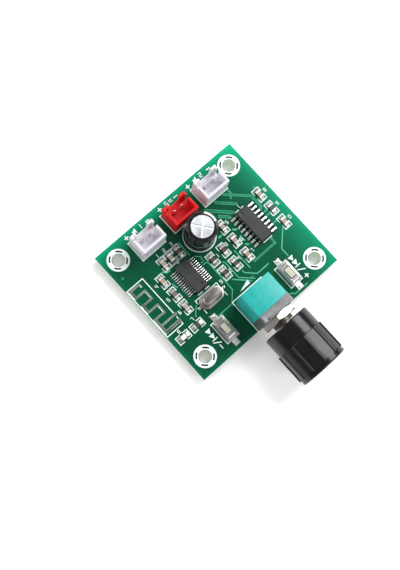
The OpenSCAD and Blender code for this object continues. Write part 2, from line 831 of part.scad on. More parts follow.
// Push switches: a moulded base with a snap dome in its well, a plunger over the dome, and a
// pressed steel cover with a window for the plunger. A flat terminal leaves each end.
module terminal_pair(c) {
    for (e = [90, 270])
        translate([c[0], c[1], seat_z])
            rotate(e)
                rotate([90, 0, 0])
                    translate([0, 0, -0.775])
                        linear_extrude(1.55)
                            polygon([[1, well_z - 0.15 - seat], [1.9, well_z - 0.15 - seat],
                                [1.9, 0], [tab_reach, 0], [tab_reach, sheet], [2.05, sheet],
                                [2.05, well_z - seat], [1, well_z - seat]]);
}
module switch_base(c) {
    difference() {
        block(c, seat_z, [base_w, base_l, cover_h - sheet - seat]);
        block(c, top_z + well_z, [well_w, well_l, 5]);
        terminal_pair(c);
    }
}
module switch_cover(c) {
    difference() {
        union() {
            block(c, top_z + 0.65, [cover_w, cover_l, cover_h - 0.65]);
            block(c, top_z + cover_h - 0.01, [2.1, 3.6, 0.13]);
        }
        block(c, top_z, [base_w, base_l, cover_h - sheet]);
        block(c, top_z, [plunger_w + 2 * plunger_gap, plunger_l + 2 * plunger_gap, 5]);
    }
}
module switch_dome(c) {
    t = 0.06;
    rise = dome_h - t;
    big = (dome_r * dome_r + rise * rise) / (2 * rise);
    arc = asin(dome_r / big);
    translate([c[0], c[1], top_z + well_z + rise - big])
        rotate_extrude()
            polygon(concat([for (i = [0:6]) [big * sin(arc * i / 6), big * cos(arc * i / 6)]],
                [for (i = [6:-1:0])
                    [(big + t) * sin(arc * i / 6), (big + t) * cos(arc * i / 6)]]));
}
module switch_plunger(c) {
    under = cover_h - sheet - 0.02;
    foot = well_z + dome_h + 0.01;
    union() {
        block(c, top_z + under - 0.35, [well_w - 2 * plunger_gap, well_l - 2 * plunger_gap, 0.35]);
        block(c, top_z + under - 0.1, [plunger_w, plunger_l, cover_h + plunger_up - under + 0.1]);
        translate([c[0], c[1], top_z + foot])
            cylinder(r = 0.45, h = under - 0.2 - foot);
    }
}
module previous_switch_base() {
    color("dimgray")
        switch_base(prev_c);
}
module previous_switch_cover() {
    color("silver")
        switch_cover(prev_c);
}
module previous_switch_dome() {
    color("silver")
        switch_dome(prev_c);
}
module previous_switch_plunger() {
    color("beige")
        switch_plunger(prev_c);
}
module next_switch_base() {
    color("dimgray")
        switch_base(next_c);
}
module next_switch_cover() {
    color("silver")
        switch_cover(next_c);
}
module next_switch_dome() {
    color("silver")
        switch_dome(next_c);
}
module next_switch_plunger() {
    color("beige")
        switch_plunger(next_c);
}
module switch_terminals() {
    color("silver") {
        terminal_pair(prev_c);
        terminal_pair(next_c);
    }
}

// Volume control. Its parts lie along the shaft, so they are drawn upright and laid down with
// their top towards -Y, f in front of the plate's face.
module at_shaft(f) {
    translate([volume_x, plate_y - f, shaft_z])
        rotate([90, 0, 0])
            children();
}
// The outline that the housing and the front plate share, seen from the front.
module volume_outer(t, c) {
    w = volume_w / 2;
    b = seat_z - shaft_z;
    u = top_z + volume_h - shaft_z;
    linear_extrude(t)
        polygon([[-w, b], [w, b], [w, u - c], [w - 0.3 * c, u - 0.3 * c], [w - c, u],
            [c - w, u], [0.3 * c - w, u - 0.3 * c], [-w, u - c]]);
}
module volume_pin_shapes() {
    volume_pin_places()
        block([0, 0], tail_z, [0.8, 0.3, shaft_z - chamber_r + 1.5 - tail_z]);
}
// The housing is open at the front. A rib in its roof stops the rotors.
module volume_housing() {
    color("turquoise")
        difference() {
            at_shaft(-plate_t - volume_d)
                volume_outer(volume_d, 0.5);
            difference() {
                at_shaft(chamber_end)
                    cylinder(r = chamber_r, h = 10);
                block([volume_x, housing_y], shaft_z + chamber_r - 0.5, [2, 20, 5]);
            }
            at_shaft(chamber_end - 0.4)
                cylinder(r = 1 + shaft_gap, h = 2);
            volume_pin_shapes();
        }
}
module volume_front_plate() {
    color("gray")
        union() {
            difference() {
                at_shaft(-plate_t)
                    volume_outer(plate_t, 0.25);
                at_shaft(-plate_t - 1)
                    cylinder(r = shaft_r + shaft_gap, h = 9);
                at_shaft(-1.5)
                    cylinder(r = bushing_r, h = 9);
                block([volume_x - volume_w / 2 + 1.2, plate_y], top_z + volume_h - 0.5,
                    [0.9, 1.2, 2]);
            }
            plate_leg_places()
                block([0, 0], -1, [0.7, 1.3, seat_z + 1.1]);
        }
}
module volume_bushing() {
    n = floor((bushing_front - nut_t) / 0.25);
    r = bushing_r;
    color("silver")
        at_shaft(-1.5)
            rotate_extrude()
                polygon(concat([[shaft_r + shaft_gap, 0], [r, 0], [r, nut_t + 1.5]],
                    [for (i = [0:n - 1])
                        for (k = [[0.06, 0.1], [0.06, 0.17], [0, 0.24]])
                            [r - k[0], 1.5 + nut_t + 0.25 * i + k[1]]],
                    [[r - 0.2, bushing_front + 1.5], [shaft_r + shaft_gap, bushing_front + 1.5]]));
}
module volume_nut() {
    k = nut_af / 2 / cos(30);
    color("silver")
        at_shaft(0)
            difference() {
                rotate(nut_turn)
                    cylinder(r = k, h = nut_t, $fn = 6);
                translate([0, 0, -1])
                    cylinder(r = bushing_r, h = nut_t + 2);
            }
}
// The shaft is flatted where the knob sits, and steps down to a tang for the rotors.
module volume_shaft() {
    color("silver")
        union() {
            at_shaft(chamber_end - 0.35)
                cylinder(r = 1, h = 1);
            at_shaft(chamber_end + 0.5)
                cylinder(r = tang_r, h = -plate_t - chamber_end);
            at_shaft(-plate_t + 0.05)
                cylinder(r = shaft_r, h = plate_t + knob_back + 1);
            at_shaft(knob_back + 1)
                difference() {
                    cylinder(r = shaft_r, h = knob_len - 3);
                    translate([-5, shaft_r - 0.5, 0])
                        cube([10, 5, 30]);
                }
        }
}
// One rotor for each channel, with a lug that meets the housing's rib at the end of the turn.
module volume_rotors() {
    color("ivory")
        for (f = gang_fs)
            at_shaft(f - 1)
                difference() {
                    union() {
                        cylinder(r = rotor_r, h = 0.83);
                        cylinder(r = hub_r, h = 1.4);
                        translate([-0.4, -chamber_r + 0.15, 0])
                            cube([0.8, 1, 0.83]);
                    }
                    translate([0, 0, -1])
                        cylinder(r = tang_r, h = 4);
                }
}
module volume_wipers() {
    color("gold")
        for (f = gang_fs)
            at_shaft(f - 0.17)
                difference() {
                    cylinder(r = rotor_r - 0.2, h = 0.15);
                    translate([0, 0, -1])
                        cylinder(r = hub_r, h = 4);
                    for (s = [-1, 1])
                        translate([s * 2.2 - 0.4, -1.1, -1])
                            cube([0.8, 2.2, 4]);
                }
}
// Resistor cards, one for each channel, notched for the rib in the housing.
module volume_wafers() {
    color("saddlebrown")
        difference() {
            for (f = gang_fs)
                at_shaft(f)
                    difference() {
                        cylinder(r = chamber_r, h = wafer_t);
                        translate([0, 0, -1])
                            cylinder(r = hub_r + 0.08, h = 4);
                        translate([-1.05, chamber_r - 0.55, -1])
                            cube([2.1, 2, 4]);
                    }
            volume_pin_shapes();
        }
}
module volume_pins() {
    color("silver")
        volume_pin_shapes();
}

// Knob: a plain collar, then flat panels between thin ridges, a groove and an end cap. The back
// is hollow round a hub that grips the flatted shaft.
module volume_knob() {
    core = knob_core;
    panel = core - 0.03;
    flat = panel * cos(180 / knob_ridges);
    neck = knob_r - 0.47;
    ridge_end = knob_len - 1.6;
    color("black")
        at_shaft(knob_back)
            difference() {
                union() {
                    rotate_extrude()
                        polygon([[0, 0], [neck - 0.3, 0], [neck - 0.08, 0.1], [neck, 0.35],
                            [neck + 0.02, collar_len - 0.14], [flat - 0.06, collar_len - 0.1],
                            [flat - 0.06, collar_len], [neck - 1.5, collar_len],
                            [neck - 1.5, ridge_end], [core, ridge_end],
                            [core, ridge_end + 0.5], [core - 0.3, ridge_end + 0.55],
                            [core - 0.3, ridge_end + 0.75], [core - 0.08, ridge_end + 0.8],
                            [core - 0.08, knob_len - 0.35], [core - 0.2, knob_len - 0.12],
                            [core - 0.5, knob_len], [0, knob_len]]);
                    rotate(90 + ridge_turn)
                        translate([0, 0, collar_len])
                            cylinder(r = panel, h = ridge_end - collar_len + 0.1,
                                $fn = knob_ridges);
                    for (i = [0:knob_ridges - 1])
                        rotate(90 + ridge_turn + i * 360 / knob_ridges)
                            translate([core - 1, -0.26, collar_len + 0.05])
                                cube([knob_r - core + 1, 0.52, ridge_end - collar_len + 0.25]);
                    rotate(90 + pointer_turn)
                        translate([neck - 0.6, 0, collar_len - 0.9])
                            rotate([0, 90, 0])
                                cylinder(r = 0.4, h = 0.75);
                }
                translate([0, 0, -1])
                    difference() {
                        cylinder(r = neck - 1, h = 5);
                        cylinder(r = 3.4, h = 6);
                    }
                translate([0, 0, -1])
                    cylinder(r = shaft_r, h = 2);
                difference() {
                    translate([0, 0, -1])
                        cylinder(r = shaft_r, h = knob_len - 1);
                    translate([-5, shaft_r - 0.5, 1])
                        cube([10, 5, 30]);
                }
            }
}

// Chip parts: x, y, turn from X and height, in the order of their modules below.
part_places = [[-11.2, row_y, 90, ceramic_h], [-8.75, row_y, 90, ceramic_h],
    [-6.25, row_y, 90, ceramic_h], [-14.4, 4.88, 90, ceramic_h], [-14.4, 0.4, 90, ceramic_h],
    [-14.4, -3.9, 90, ceramic_h], [-20, -9.3, 0, film_h], [-15.35, -9.3, 0, film_h],
    [-0.95, input_ys[0], 90, film_h], [-0.95, input_ys[1], 90, film_h],
    [2.85, input_ys[0], 90, film_h], [2.85, input_ys[1], 90, film_h],
    [6.7, 5.3, 90, ceramic_h], [6.7, 0.65, 90, ceramic_h], [6.7, -4.2, 90, ceramic_h],
    [19.9, 5.45, 90, ceramic_h], [19.9, 0.65, 90, film_h],
    [19.9, -4.15, 90, ceramic_h]];
module part_body(i) {
    p = part_places[i];
    translate([p[0], p[1], 0])
        rotate(p[2])
            block([0, 0], seat_z + cap_t,
                [part_len - 2 * cap_t, part_w - 2 * cap_t, p[3] - 2 * cap_t]);
}
module chip_terminations() {
    color("silver")
        for (i = [0:len(part_places) - 1]) {
            p = part_places[i];
            difference() {
                translate([p[0], p[1], 0])
                    rotate(p[2])
                        for (e = [-1, 1])
                            block([e * (part_len - cap_e) / 2, 0], seat_z, [cap_e, part_w, p[3]]);
                part_body(i);
            }
        }
}
module row_capacitor_left() {
    color("tan")
        part_body(0);
}
module row_capacitor_middle() {
    color("tan")
        part_body(1);
}
module row_capacitor_right() {
    color("sienna")
        part_body(2);
}
module edge_capacitor_upper() {
    color("tan")
        part_body(3);
}
module edge_inductor() {
    color("dimgray")
        part_body(4);
}
module edge_capacitor_lower() {
    color("tan")
        part_body(5);
}
module status_led() {
    color("white")
        part_body(6);
}
module led_resistor() {
    color("black")
        part_body(7);
}
module input_resistor_1() {
    color("black")
        part_body(8);
}
module input_resistor_2() {
    color("black")
        part_body(9);
}
module input_resistor_3() {
    color("black")
        part_body(10);
}
module input_resistor_4() {
    color("black")
        part_body(11);
}
module input_capacitor_1() {
    color("tan")
        part_body(12);
}
module input_capacitor_2() {
    color("tan")
        part_body(13);
}
module input_capacitor_3() {
    color("tan")
        part_body(14);
}
module output_capacitor_upper() {
    color("tan")
        part_body(15);
}
module output_resistor() {
    color("black")
        part_body(16);
}
module output_capacitor_lower() {
    color("tan")
        part_body(17);
}

circuit_board();
legend_print();
antenna_track();
solder_joints();
left_output_header();
left_output_pins();
power_header();
power_pins();
right_output_header();
right_output_pins();
capacitor_can();
capacitor_sleeve();
capacitor_bung();
capacitor_winding();
capacitor_leads();
amplifier_chip();
amplifier_leads();
bluetooth_chip();
bluetooth_leads();
crystal_base();
crystal_can();
crystal_terminals();
previous_switch_base();
previous_switch_cover();
previous_switch_dome();
previous_switch_plunger();
next_switch_base();
next_switch_cover();
next_switch_dome();
next_switch_plunger();
switch_terminals();
volume_housing();
volume_front_plate();
volume_bushing();
volume_nut();
volume_shaft();
volume_rotors();
volume_wipers();
volume_wafers();
volume_pins();
volume_knob();
row_capacitor_left();
row_capacitor_middle();
row_capacitor_right();
edge_capacitor_upper();
edge_inductor();
edge_capacitor_lower();
status_led();
led_resistor();
input_resistor_1();
input_resistor_2();
input_resistor_3();
input_resistor_4();
input_capacitor_1();
input_capacitor_2();
input_capacitor_3();
output_capacitor_upper();
output_resistor();
output_capacitor_lower();
chip_terminations();
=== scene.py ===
import math
import random

import bmesh
import bpy
from mathutils import Matrix, Vector


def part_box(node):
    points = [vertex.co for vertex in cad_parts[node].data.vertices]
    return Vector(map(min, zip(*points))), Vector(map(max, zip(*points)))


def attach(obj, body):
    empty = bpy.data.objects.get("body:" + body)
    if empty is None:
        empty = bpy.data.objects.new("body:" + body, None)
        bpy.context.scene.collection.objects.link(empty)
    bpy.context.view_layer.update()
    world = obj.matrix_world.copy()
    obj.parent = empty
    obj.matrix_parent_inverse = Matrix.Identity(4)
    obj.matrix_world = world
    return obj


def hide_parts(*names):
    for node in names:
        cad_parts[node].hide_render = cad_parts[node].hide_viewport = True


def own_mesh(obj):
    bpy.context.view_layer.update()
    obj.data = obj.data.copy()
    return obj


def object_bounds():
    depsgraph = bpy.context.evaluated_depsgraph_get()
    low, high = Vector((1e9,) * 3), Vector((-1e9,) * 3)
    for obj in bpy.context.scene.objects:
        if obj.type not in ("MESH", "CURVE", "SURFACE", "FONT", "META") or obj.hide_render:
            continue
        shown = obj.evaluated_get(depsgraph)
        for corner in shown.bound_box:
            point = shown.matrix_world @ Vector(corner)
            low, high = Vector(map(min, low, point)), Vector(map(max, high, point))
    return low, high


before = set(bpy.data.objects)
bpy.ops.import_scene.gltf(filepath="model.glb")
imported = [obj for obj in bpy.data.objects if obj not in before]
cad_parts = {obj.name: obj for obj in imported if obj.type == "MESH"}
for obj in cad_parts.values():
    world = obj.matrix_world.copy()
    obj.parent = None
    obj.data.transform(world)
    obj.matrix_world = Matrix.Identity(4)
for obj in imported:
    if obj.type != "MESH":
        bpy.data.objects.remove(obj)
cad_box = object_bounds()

# Camera: where the photograph was taken from, above the board and over its antenna edge, turned
# so that the knob points to the lower right. Lengths in the sections below are millimetres.
MM = 0.001
focal_px, photo_px, sensor = 1100, 570, 36
view = bpy.data.cameras.new("photo_camera")
view.sensor_width = sensor
view.lens = focal_px / photo_px * sensor
view.clip_start = 0.01
view.clip_end = 10
camera = bpy.data.objects.new("photo_camera", view)
bpy.context.scene.collection.objects.link(camera)
right = Vector((0.73772, -0.67047, 0.07906))
up = Vector((0.64902, 0.73657, 0.19036))
back = Vector((-0.18586, -0.08912, 0.97853))
turn = Matrix((right, up, back)).transposed().to_4x4()
camera.matrix_world = Matrix.Translation(Vector((-60.04, -27.10, 276.4)) * MM) @ turn
bpy.context.scene.camera = camera

# Floor and light: a plain white sheet just under the module, a broad soft light high on its
# right, two weaker ones beyond the header edge and the knob edge, and an even surround.
floor_half = 3
floor_z = cad_box[0][2] - 0.02 * MM
floor_mesh = bpy.data.meshes.new("floor")
floor_mesh.from_pydata([(x * floor_half, y * floor_half, floor_z)
                        for x, y in ((-1, -1), (1, -1), (1, 1), (-1, 1))], [], [(0, 1, 2, 3)])
floor = bpy.data.objects.new("floor", floor_mesh)
bpy.context.scene.collection.objects.link(floor)
paper = bpy.data.materials.new("white_sheet")
paper.use_nodes = True
for socket, value in (("Base Color", (0.93, 0.93, 0.93, 1)), ("Roughness", 0.9),
                      ("Emission Color", (1, 1, 1, 1)), ("Emission Strength", 0.25)):
    paper.node_tree.nodes["Principled BSDF"].inputs[socket].default_value = value
floor_mesh.materials.append(paper)


def soft_light(name, place, target, size, watts):
    """A rectangular lamp at place that looks at target, in metres."""
    lamp = bpy.data.lights.new(name, "AREA")
    lamp.shape = "RECTANGLE"
    lamp.size, lamp.size_y = size
    lamp.energy = watts
    box = bpy.data.objects.new(name, lamp)
    box.location = Vector(place)
    box.rotation_euler = (Vector(target) - Vector(place)).to_track_quat("-Z", "Y").to_euler()
    bpy.context.scene.collection.objects.link(box)


soft_light("key", (0.305, 0.055, 0.332), (0, 0, 0), (0.34, 0.27), 2.12)
soft_light("header_side", (-0.30, 0.40, 0.30), (0, 0, 0), (0.34, 0.18), 1.45)
soft_light("knob_side", (0.10, -0.40, 0.26), (0, -0.02, 0), (0.24, 0.10), 0.8)
surround = bpy.data.worlds.new("surround")
surround.use_nodes = True
surround.node_tree.nodes["Background"].inputs["Color"].default_value = (0.95, 0.97, 1.0, 1)
surround.node_tree.nodes["Background"].inputs["Strength"].default_value = 0.30
bpy.context.scene.world = surround
bpy.context.scene.view_settings.view_transform = "Standard"


# Circuit board: woven glass and resin, drilled and routed, under a glossy green mask. The mask is dark over
# the middle and painted paler toward the right edge and the header edge, and a little near every edge, as
# painted light. Tracks show lighter and a little raised, and the routed edges are bare pale laminate.
class Wiring:
    """The nodes of one material or node group, placed and joined by short calls."""

    def __init__(self, tree):
        self.tree = tree
        self.column = 0

    def feed(self, socket, value):
        """Joins a socket to another one, or sets it to a plain value."""
        if isinstance(value, bpy.types.NodeSocket):
            self.tree.links.new(value, socket)
        else:
            socket.default_value = (*value, 1) if socket.type == "RGBA" else value

    def add(self, kind, inputs=None, **fields):
        node = self.tree.nodes.new(kind)
        self.column += 1
        node.location = (180 * (self.column % 12) - 2200, -240 * (self.column // 12))
        for name, value in fields.items():
            setattr(node, name, value)
        for name, value in (inputs or {}).items():
            self.feed(node.inputs[name], value)
        return node

    def math(self, operation, *values, clamp=False):
        inputs = dict(enumerate(values))
        return self.add("ShaderNodeMath", inputs, operation=operation, use_clamp=clamp).outputs[0]

    def times(self, product, *values):
        """All the values multiplied."""
        for value in values:
            product = self.math("MULTIPLY", product, value)
        return product

    def squares(self, a, b):
        return self.math("ADD", self.times(a, a), self.times(b, b))

    def within(self, value, middle, reach):
        """1 where value is no further than reach from middle, and 0 elsewhere."""
        return self.math("COMPARE", value, middle, reach)

    def between(self, value, low, high):
        """0 at low, 1 at high, in a straight line and no further."""
        inputs = {"Value": value, "From Min": low, "From Max": high}
        return self.add("ShaderNodeMapRange", inputs).outputs[0]

    def mix(self, factor, a, b):
        return self.add("ShaderNodeMix", {0: factor, 6: a, 7: b}, data_type="RGBA").outputs[2]

    def here(self):
        """The place on the piece, in metres."""
        return self.add("ShaderNodeTexCoord").outputs["Object"]

    def stretched(self, stretch):
        """The place on the piece, stretched by its own amount along each axis."""
        return self.add("ShaderNodeMapping", {"Vector": self.here(), "Scale": stretch}).outputs[0]

    def split(self, vector):
        return self.add("ShaderNodeSeparateXYZ", {"Vector": vector}).outputs

    def noise(self, place, scale, detail, rough=0.5):
        inputs = {"Vector": place, "Scale": scale, "Detail": detail, "Roughness": rough}
        return self.add("ShaderNodeTexNoise", inputs).outputs["Fac"]

    def bump(self, height, strength, distance):
        inputs = {"Height": height, "Strength": strength, "Distance": distance * MM}
        return self.add("ShaderNodeBump", inputs).outputs[0]


def effect(name, inputs, outputs):
    """An empty node group with named sockets, and the wiring inside it."""
    tree = bpy.data.node_groups.new(name, "ShaderNodeTree")
    for socket, kind, value in inputs:
        tree.interface.new_socket(socket, in_out="INPUT", socket_type=kind).default_value = value
    for socket, kind in outputs:
        tree.interface.new_socket(socket, in_out="OUTPUT", socket_type=kind)
    wires = Wiring(tree)
    start = wires.add("NodeGroupInput")
    end = wires.add("NodeGroupOutput")
    return tree, wires, start.outputs, end.inputs


def finish_of(name, **shader):
    """A material, its wiring and its shader's sockets, some of them set to plain values."""
    material = bpy.data.materials.new(name)
    material.use_nodes = True
    wires = Wiring(material.node_tree)
    surface = material.node_tree.nodes["Principled BSDF"].inputs
    for socket, value in shader.items():
        wires.feed(surface[socket.replace("_", " ")], value)
    return material, wires, surface


COLOUR, NUMBER = "NodeSocketColor", "NodeSocketFloat"

# Mottle: two colours that run into each other in soft patches, as dye, mask and resin do.
mottle, wires, take, give = effect(
    "mottle", [("Colour", COLOUR, (1, 1, 1, 1)), ("Second Colour", COLOUR, (1, 1, 1, 1)),
               ("Patch Size", NUMBER, 1.0), ("Amount", NUMBER, 0.5)], [("Colour", COLOUR)])
spread = wires.noise(wires.here(), wires.math("DIVIDE", 1 / MM, take["Patch Size"]), 4.0, 0.6)
amount = wires.times(wires.between(spread, 0.3, 0.7), take["Amount"])
wires.feed(give["Colour"], wires.mix(amount, take["Colour"], take["Second Colour"]))

# Fine texture: small hollows and grains that break up a reflection, as height and roughness.
texture, wires, take, give = effect(
    "fine_texture", [("Grain Size", NUMBER, 0.1), ("Depth", NUMBER, 0.5), ("Roughness", NUMBER, 0.5),
                     ("Roughness Change", NUMBER, 0.1)], [("Height", NUMBER), ("Roughness", NUMBER)])
grain = wires.noise(wires.here(), wires.math("DIVIDE", 1 / MM, take["Grain Size"]), 3.0)
broad = wires.noise(wires.here(), 420.0, 2.0)
swing = wires.times(wires.math("SUBTRACT", broad, 0.5), take["Roughness Change"], 2.0)
wires.feed(give["Height"], wires.times(grain, take["Depth"]))
wires.feed(give["Roughness"], wires.math("ADD", take["Roughness"], swing, clamp=True))


def placed(wires, group, **values):
    """One effect placed in a material with its own values."""
    inputs = {name.replace("_", " "): value for name, value in values.items()}
    return wires.add("ShaderNodeGroup", inputs, node_tree=group).outputs


def mottled(wires, base, second, patch_size, amount):
    """A colour that runs into a second one in soft patches."""
    return placed(wires, mottle, Colour=base, Second_Colour=second, Patch_Size=patch_size,
                  Amount=amount)["Colour"]


def textured(wires, surface, rough, grain_size, depth, change, bump):
    """Wires fine texture into a material's roughness and normal."""
    skin = placed(wires, texture, Grain_Size=grain_size, Depth=depth, Roughness=rough,
                  Roughness_Change=change)
    wires.feed(surface["Roughness"], skin["Roughness"])
    wires.feed(surface["Normal"], wires.bump(skin["Height"], 1.0, bump))


def box_of(node):
    """Two opposite corners of a CAD part's box."""
    return [[c / MM for c in corner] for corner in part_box(node)]


def middle_of(node):
    """The centre of a CAD part in X and Y."""
    low, high = box_of(node)
    return (low[0] + high[0]) / 2, (low[1] + high[1]) / 2


def coated(node, finish):
    """Gives its material to a CAD part that is shown as it is."""
    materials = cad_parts[node].data.materials
    materials.clear()
    materials.append(finish)


board_top, track_lift = 1.6, 0.03
board_x, board_y = box_of("circuit_board")[1][:2]
hole_x, hole_y, ring_r = 19.2, 16.5, 2.9
AMPLIFIER_ROW = ("amplifier_chip", 8, 1.27)
BLUETOOTH_ROW = ("bluetooth_chip", 12, 0.635)
lead_out, lead_reach = 3.0, 0.9

mask_green, wires, surface = finish_of("mask_green", Specular_IOR_Level=0.2)
spot = wires.split(wires.here())
facing = wires.split(wires.add("ShaderNodeNewGeometry").outputs["Normal"])
sheen = mottled(wires, (0.0013, 0.070, 0.031), (0.002, 0.098, 0.046), 14.0, 0.8)
from_middle = {axis: wires.math("ABSOLUTE", spot[axis]) for axis in "XY"}
# Painted light: the mask is painted paler toward the right edge and the header edge, and a little near
# every edge.
to_right = wires.math("POWER", wires.between(spot["X"], 11.5 * MM, board_x * MM), 2.0)
to_headers = wires.math("POWER", wires.between(spot["Y"], 13.5 * MM, board_y * MM), 2.0)
from_side = wires.math("SUBTRACT", board_x * MM, from_middle["X"])
from_end = wires.math("SUBTRACT", board_y * MM, from_middle["Y"])
at_edge = wires.between(wires.math("MINIMUM", from_side, from_end), 1.6 * MM, 0.0)
painted_light_to_edges = wires.math("ADD", wires.times(to_right, 0.5), wires.times(to_headers, 0.55))
painted_light_to_edges = wires.math("ADD", painted_light_to_edges, wires.times(at_edge, 0.12), clamp=True)
# The mask pales over the tracks, except over the short run beside the left hole.
pale_from, lift_low, lift_high = -15.0, 0.012, 0.022
on_track = wires.times(
    wires.math("GREATER_THAN", spot["X"], pale_from * MM),
    wires.between(spot["Z"], (board_top + lift_low) * MM, (board_top + lift_high) * MM))
# By that amount, mask and tracks alike turn to a paler green: painted light.
skin = wires.mix(on_track, wires.mix(painted_light_to_edges, sheen, (0.005, 0.44, 0.225)),
                 wires.mix(painted_light_to_edges, (0.014, 0.22, 0.11), (0.05, 0.48, 0.28)))
# Painted shade: a near-black ring round each corner hole, on the top face only.
in_shade_ring = wires.math("LESS_THAN", wires.squares(wires.math("SUBTRACT", from_middle["X"], hole_x * MM),
                                                wires.math("SUBTRACT", from_middle["Y"], hole_y * MM)),
                     (ring_r * MM) ** 2)
on_top = wires.math("GREATER_THAN", spot["Z"], board_top / 2 * MM)
skin = wires.mix(wires.times(in_shade_ring, on_top), skin, (0.002, 0.012, 0.009))
# Painted shade: bands of mask under and beside each chip's rows of leads are painted near black.
for chip, count, pitch in (AMPLIFIER_ROW, BLUETOOTH_ROW):
    x, y = middle_of(chip)
    out = wires.math("ABSOLUTE", wires.math("SUBTRACT", spot["X"], x * MM))
    beside = wires.within(out, lead_out * MM, lead_reach * MM)
    along = wires.within(spot["Y"], y * MM, count * pitch / 2 * MM)
    skin = wires.mix(wires.times(beside, along, on_top), skin, (0.002, 0.022, 0.013))
upright = wires.within(facing["Z"], 0.0, 0.5)
below_top = wires.math("LESS_THAN", spot["Z"], (board_top - 0.004) * MM)
glass = wires.noise(wires.stretched((1.0, 1.0, 9.0)), 900.0, 4.0)
laminate = wires.mix(glass, (0.86, 0.82, 0.60), (0.68, 0.70, 0.46))
wires.feed(surface["Base Color"], wires.mix(wires.times(upright, below_top), skin, laminate))
textured(wires, surface, 0.20, 0.55, 0.5, 0.08, 0.02)
coated("circuit_board", mask_green)


# Vias: plated holes that only join the board's two sides. They stay under the mask, and stand up
# as small rings of copper with a shallow hollow in the middle.
def around(count):
    """Evenly spaced angles, once round."""
    return [math.tau * k / count for k in range(count)]


def points(shape, spots):
    """New points in a shape."""
    return [shape.verts.new([c * MM for c in spot]) for spot in spots]


def circle(shape, x, y, z, radius, count):
    """A level ring of points about (x, y), or one point if it has no radius."""
    return points(shape, [(x + radius * math.cos(a), y + radius * math.sin(a), z)
                          for a in around(count if radius else 1)])


def skinned(shape, rings, ends=True):
    """Faces from each ring of points to the next, and over the first and the last ring."""
    for low, high in zip(rings, rings[1:]):
        count = max(len(low), len(high))
        for k in range(count):
            n = (k + 1) % count
            corners = (low[k % len(low)], low[n % len(low)], high[n % len(high)], high[k % len(high)])
            shape.faces.new(tuple(dict.fromkeys(corners)))
    if ends:
        shape.faces.new(rings[0])
        shape.faces.new(rings[-1])


def piece(name, shape, finishes, body, slot_name, *stands_for, smooth=35):
    """Puts a finished shape in the scene, on its body, with its materials. Its slot_name is not used."""
    bmesh.ops.recalc_face_normals(shape, faces=shape.faces)
    mesh = bpy.data.meshes.new(name)
    shape.to_mesh(mesh)
    shape.free()
    for finish in finishes:
        mesh.materials.append(finish)
    if smooth:
        mesh.shade_smooth()
        mesh.set_sharp_from_angle(angle=math.radians(smooth))
    thing = bpy.data.objects.new(name, mesh)
    bpy.context.scene.collection.objects.link(thing)
    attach(thing, body)
    if stands_for:
        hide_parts(*stands_for)
    return thing


def dappled(name, base, second, patch_size, amount, rough, grain=None, **shader):
    """A material in two colours that run into each other. Its grain, if it has one, is the size
    and depth of its fine texture, the change in roughness and the bump."""
    material, wires, surface = finish_of(name, Roughness=rough, **shader)
    wires.feed(surface["Base Color"], mottled(wires, base, second, patch_size, amount))
    if grain:
        textured(wires, surface, rough, *grain)
    return material


VIA_SPOTS = [(-2.8, 2.75), (-21.5, 12.2), (20.2, 7.7), (3.7, -9.4)]
VIA_RINGS = [(0.36, -0.01), (0.33, 0.02), (0.17, 0.022), (0.13, -0.012)]
via_ring = bmesh.new()
for x, y in VIA_SPOTS:
    rings = [circle(via_ring, x, y, board_top + height, radius, 24) for radius, height in VIA_RINGS]
    skinned(via_ring, rings + rings[:1], ends=False)
via_green = dappled("via_green", (0.03, 0.26, 0.145), (0.06, 0.38, 0.23), 3.0, 1.0, rough=0.3,
                    Coat_Weight=0.35)
piece("covered_vias", via_ring, [via_green], "module", "solder_mask")


# Track edges: the mask is thinnest where it runs over the edges of a track, so a fine pale line
# follows them. On a narrow track the two meet in one line along the middle.
def cad_shape(node, unwanted=None):
    """A CAD part's faces, joined up and whole where they are flat, without the unwanted ones."""
    shape = bmesh.new()
    shape.from_mesh(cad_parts[node].data)
    bmesh.ops.remove_doubles(shape, verts=shape.verts, dist=0.002 * MM)
    if unwanted:
        bmesh.ops.delete(shape, context="FACES", geom=[f for f in shape.faces if unwanted(f)])
    bmesh.ops.dissolve_limit(shape, angle_limit=math.radians(1.5), verts=shape.verts, edges=shape.edges)
    return shape


def off_track(face):
    x, y, z = face.calc_center_median() / MM
    return face.normal.z < 0.9 or abs(z - board_top - track_lift) > 0.003 or x < pale_from


narrow_track, edge_line, line_sink, line_lift = 0.47, 0.07, 0.01, 0.016
edge_lines = cad_shape("circuit_board", off_track)
seen, unwanted = set(), []
for first in list(edge_lines.faces):
    if first in seen:
        continue
    seen.add(first)
    run = [first]
    for f in run:
        for near in (g for e in f.edges for g in e.link_faces if g not in seen):
            seen.add(near)
            run.append(near)
    rim = {e for f in run for e in f.edges if e.is_boundary}
    width = 2 * sum(f.calc_area() for f in run) / sum(e.calc_length() for e in rim)
    fine = width < narrow_track * MM
    ring = bmesh.ops.inset_region(edge_lines, faces=run, thickness=0.33 * width if fine else edge_line * MM,
                                  use_even_offset=True, use_boundary=True)["faces"]
    seen.update(ring)
    unwanted += ring if fine else run
bmesh.ops.delete(edge_lines, context="FACES", geom=unwanted)
for v in edge_lines.verts:
    v.co.z -= line_sink * MM
lifted = bmesh.ops.extrude_face_region(edge_lines, geom=list(edge_lines.faces), use_keep_orig=True)["geom"]
for v in lifted:
    if isinstance(v, bmesh.types.BMVert):
        v.co.z += line_lift * MM
thin_mask = dappled("thin_mask", (0.11, 0.47, 0.30), (0.17, 0.60, 0.40), 3.0, 1.0, rough=0.25,
                    Specular_IOR_Level=0.3)
piece("track_edges", edge_lines, [thin_mask], "module", "solder_mask", smooth=0)

# Printed legend: white ink screened over the mask, a few hundredths thick, slightly broken up
# where it lies over a track.
ink = dappled("legend_ink", (0.86, 0.95, 0.92), (0.67, 0.84, 0.78), 0.7, 0.55, rough=0.55,
              grain=(0.12, 0.6, 0.2, 0.01))
coated("legend_print", ink)
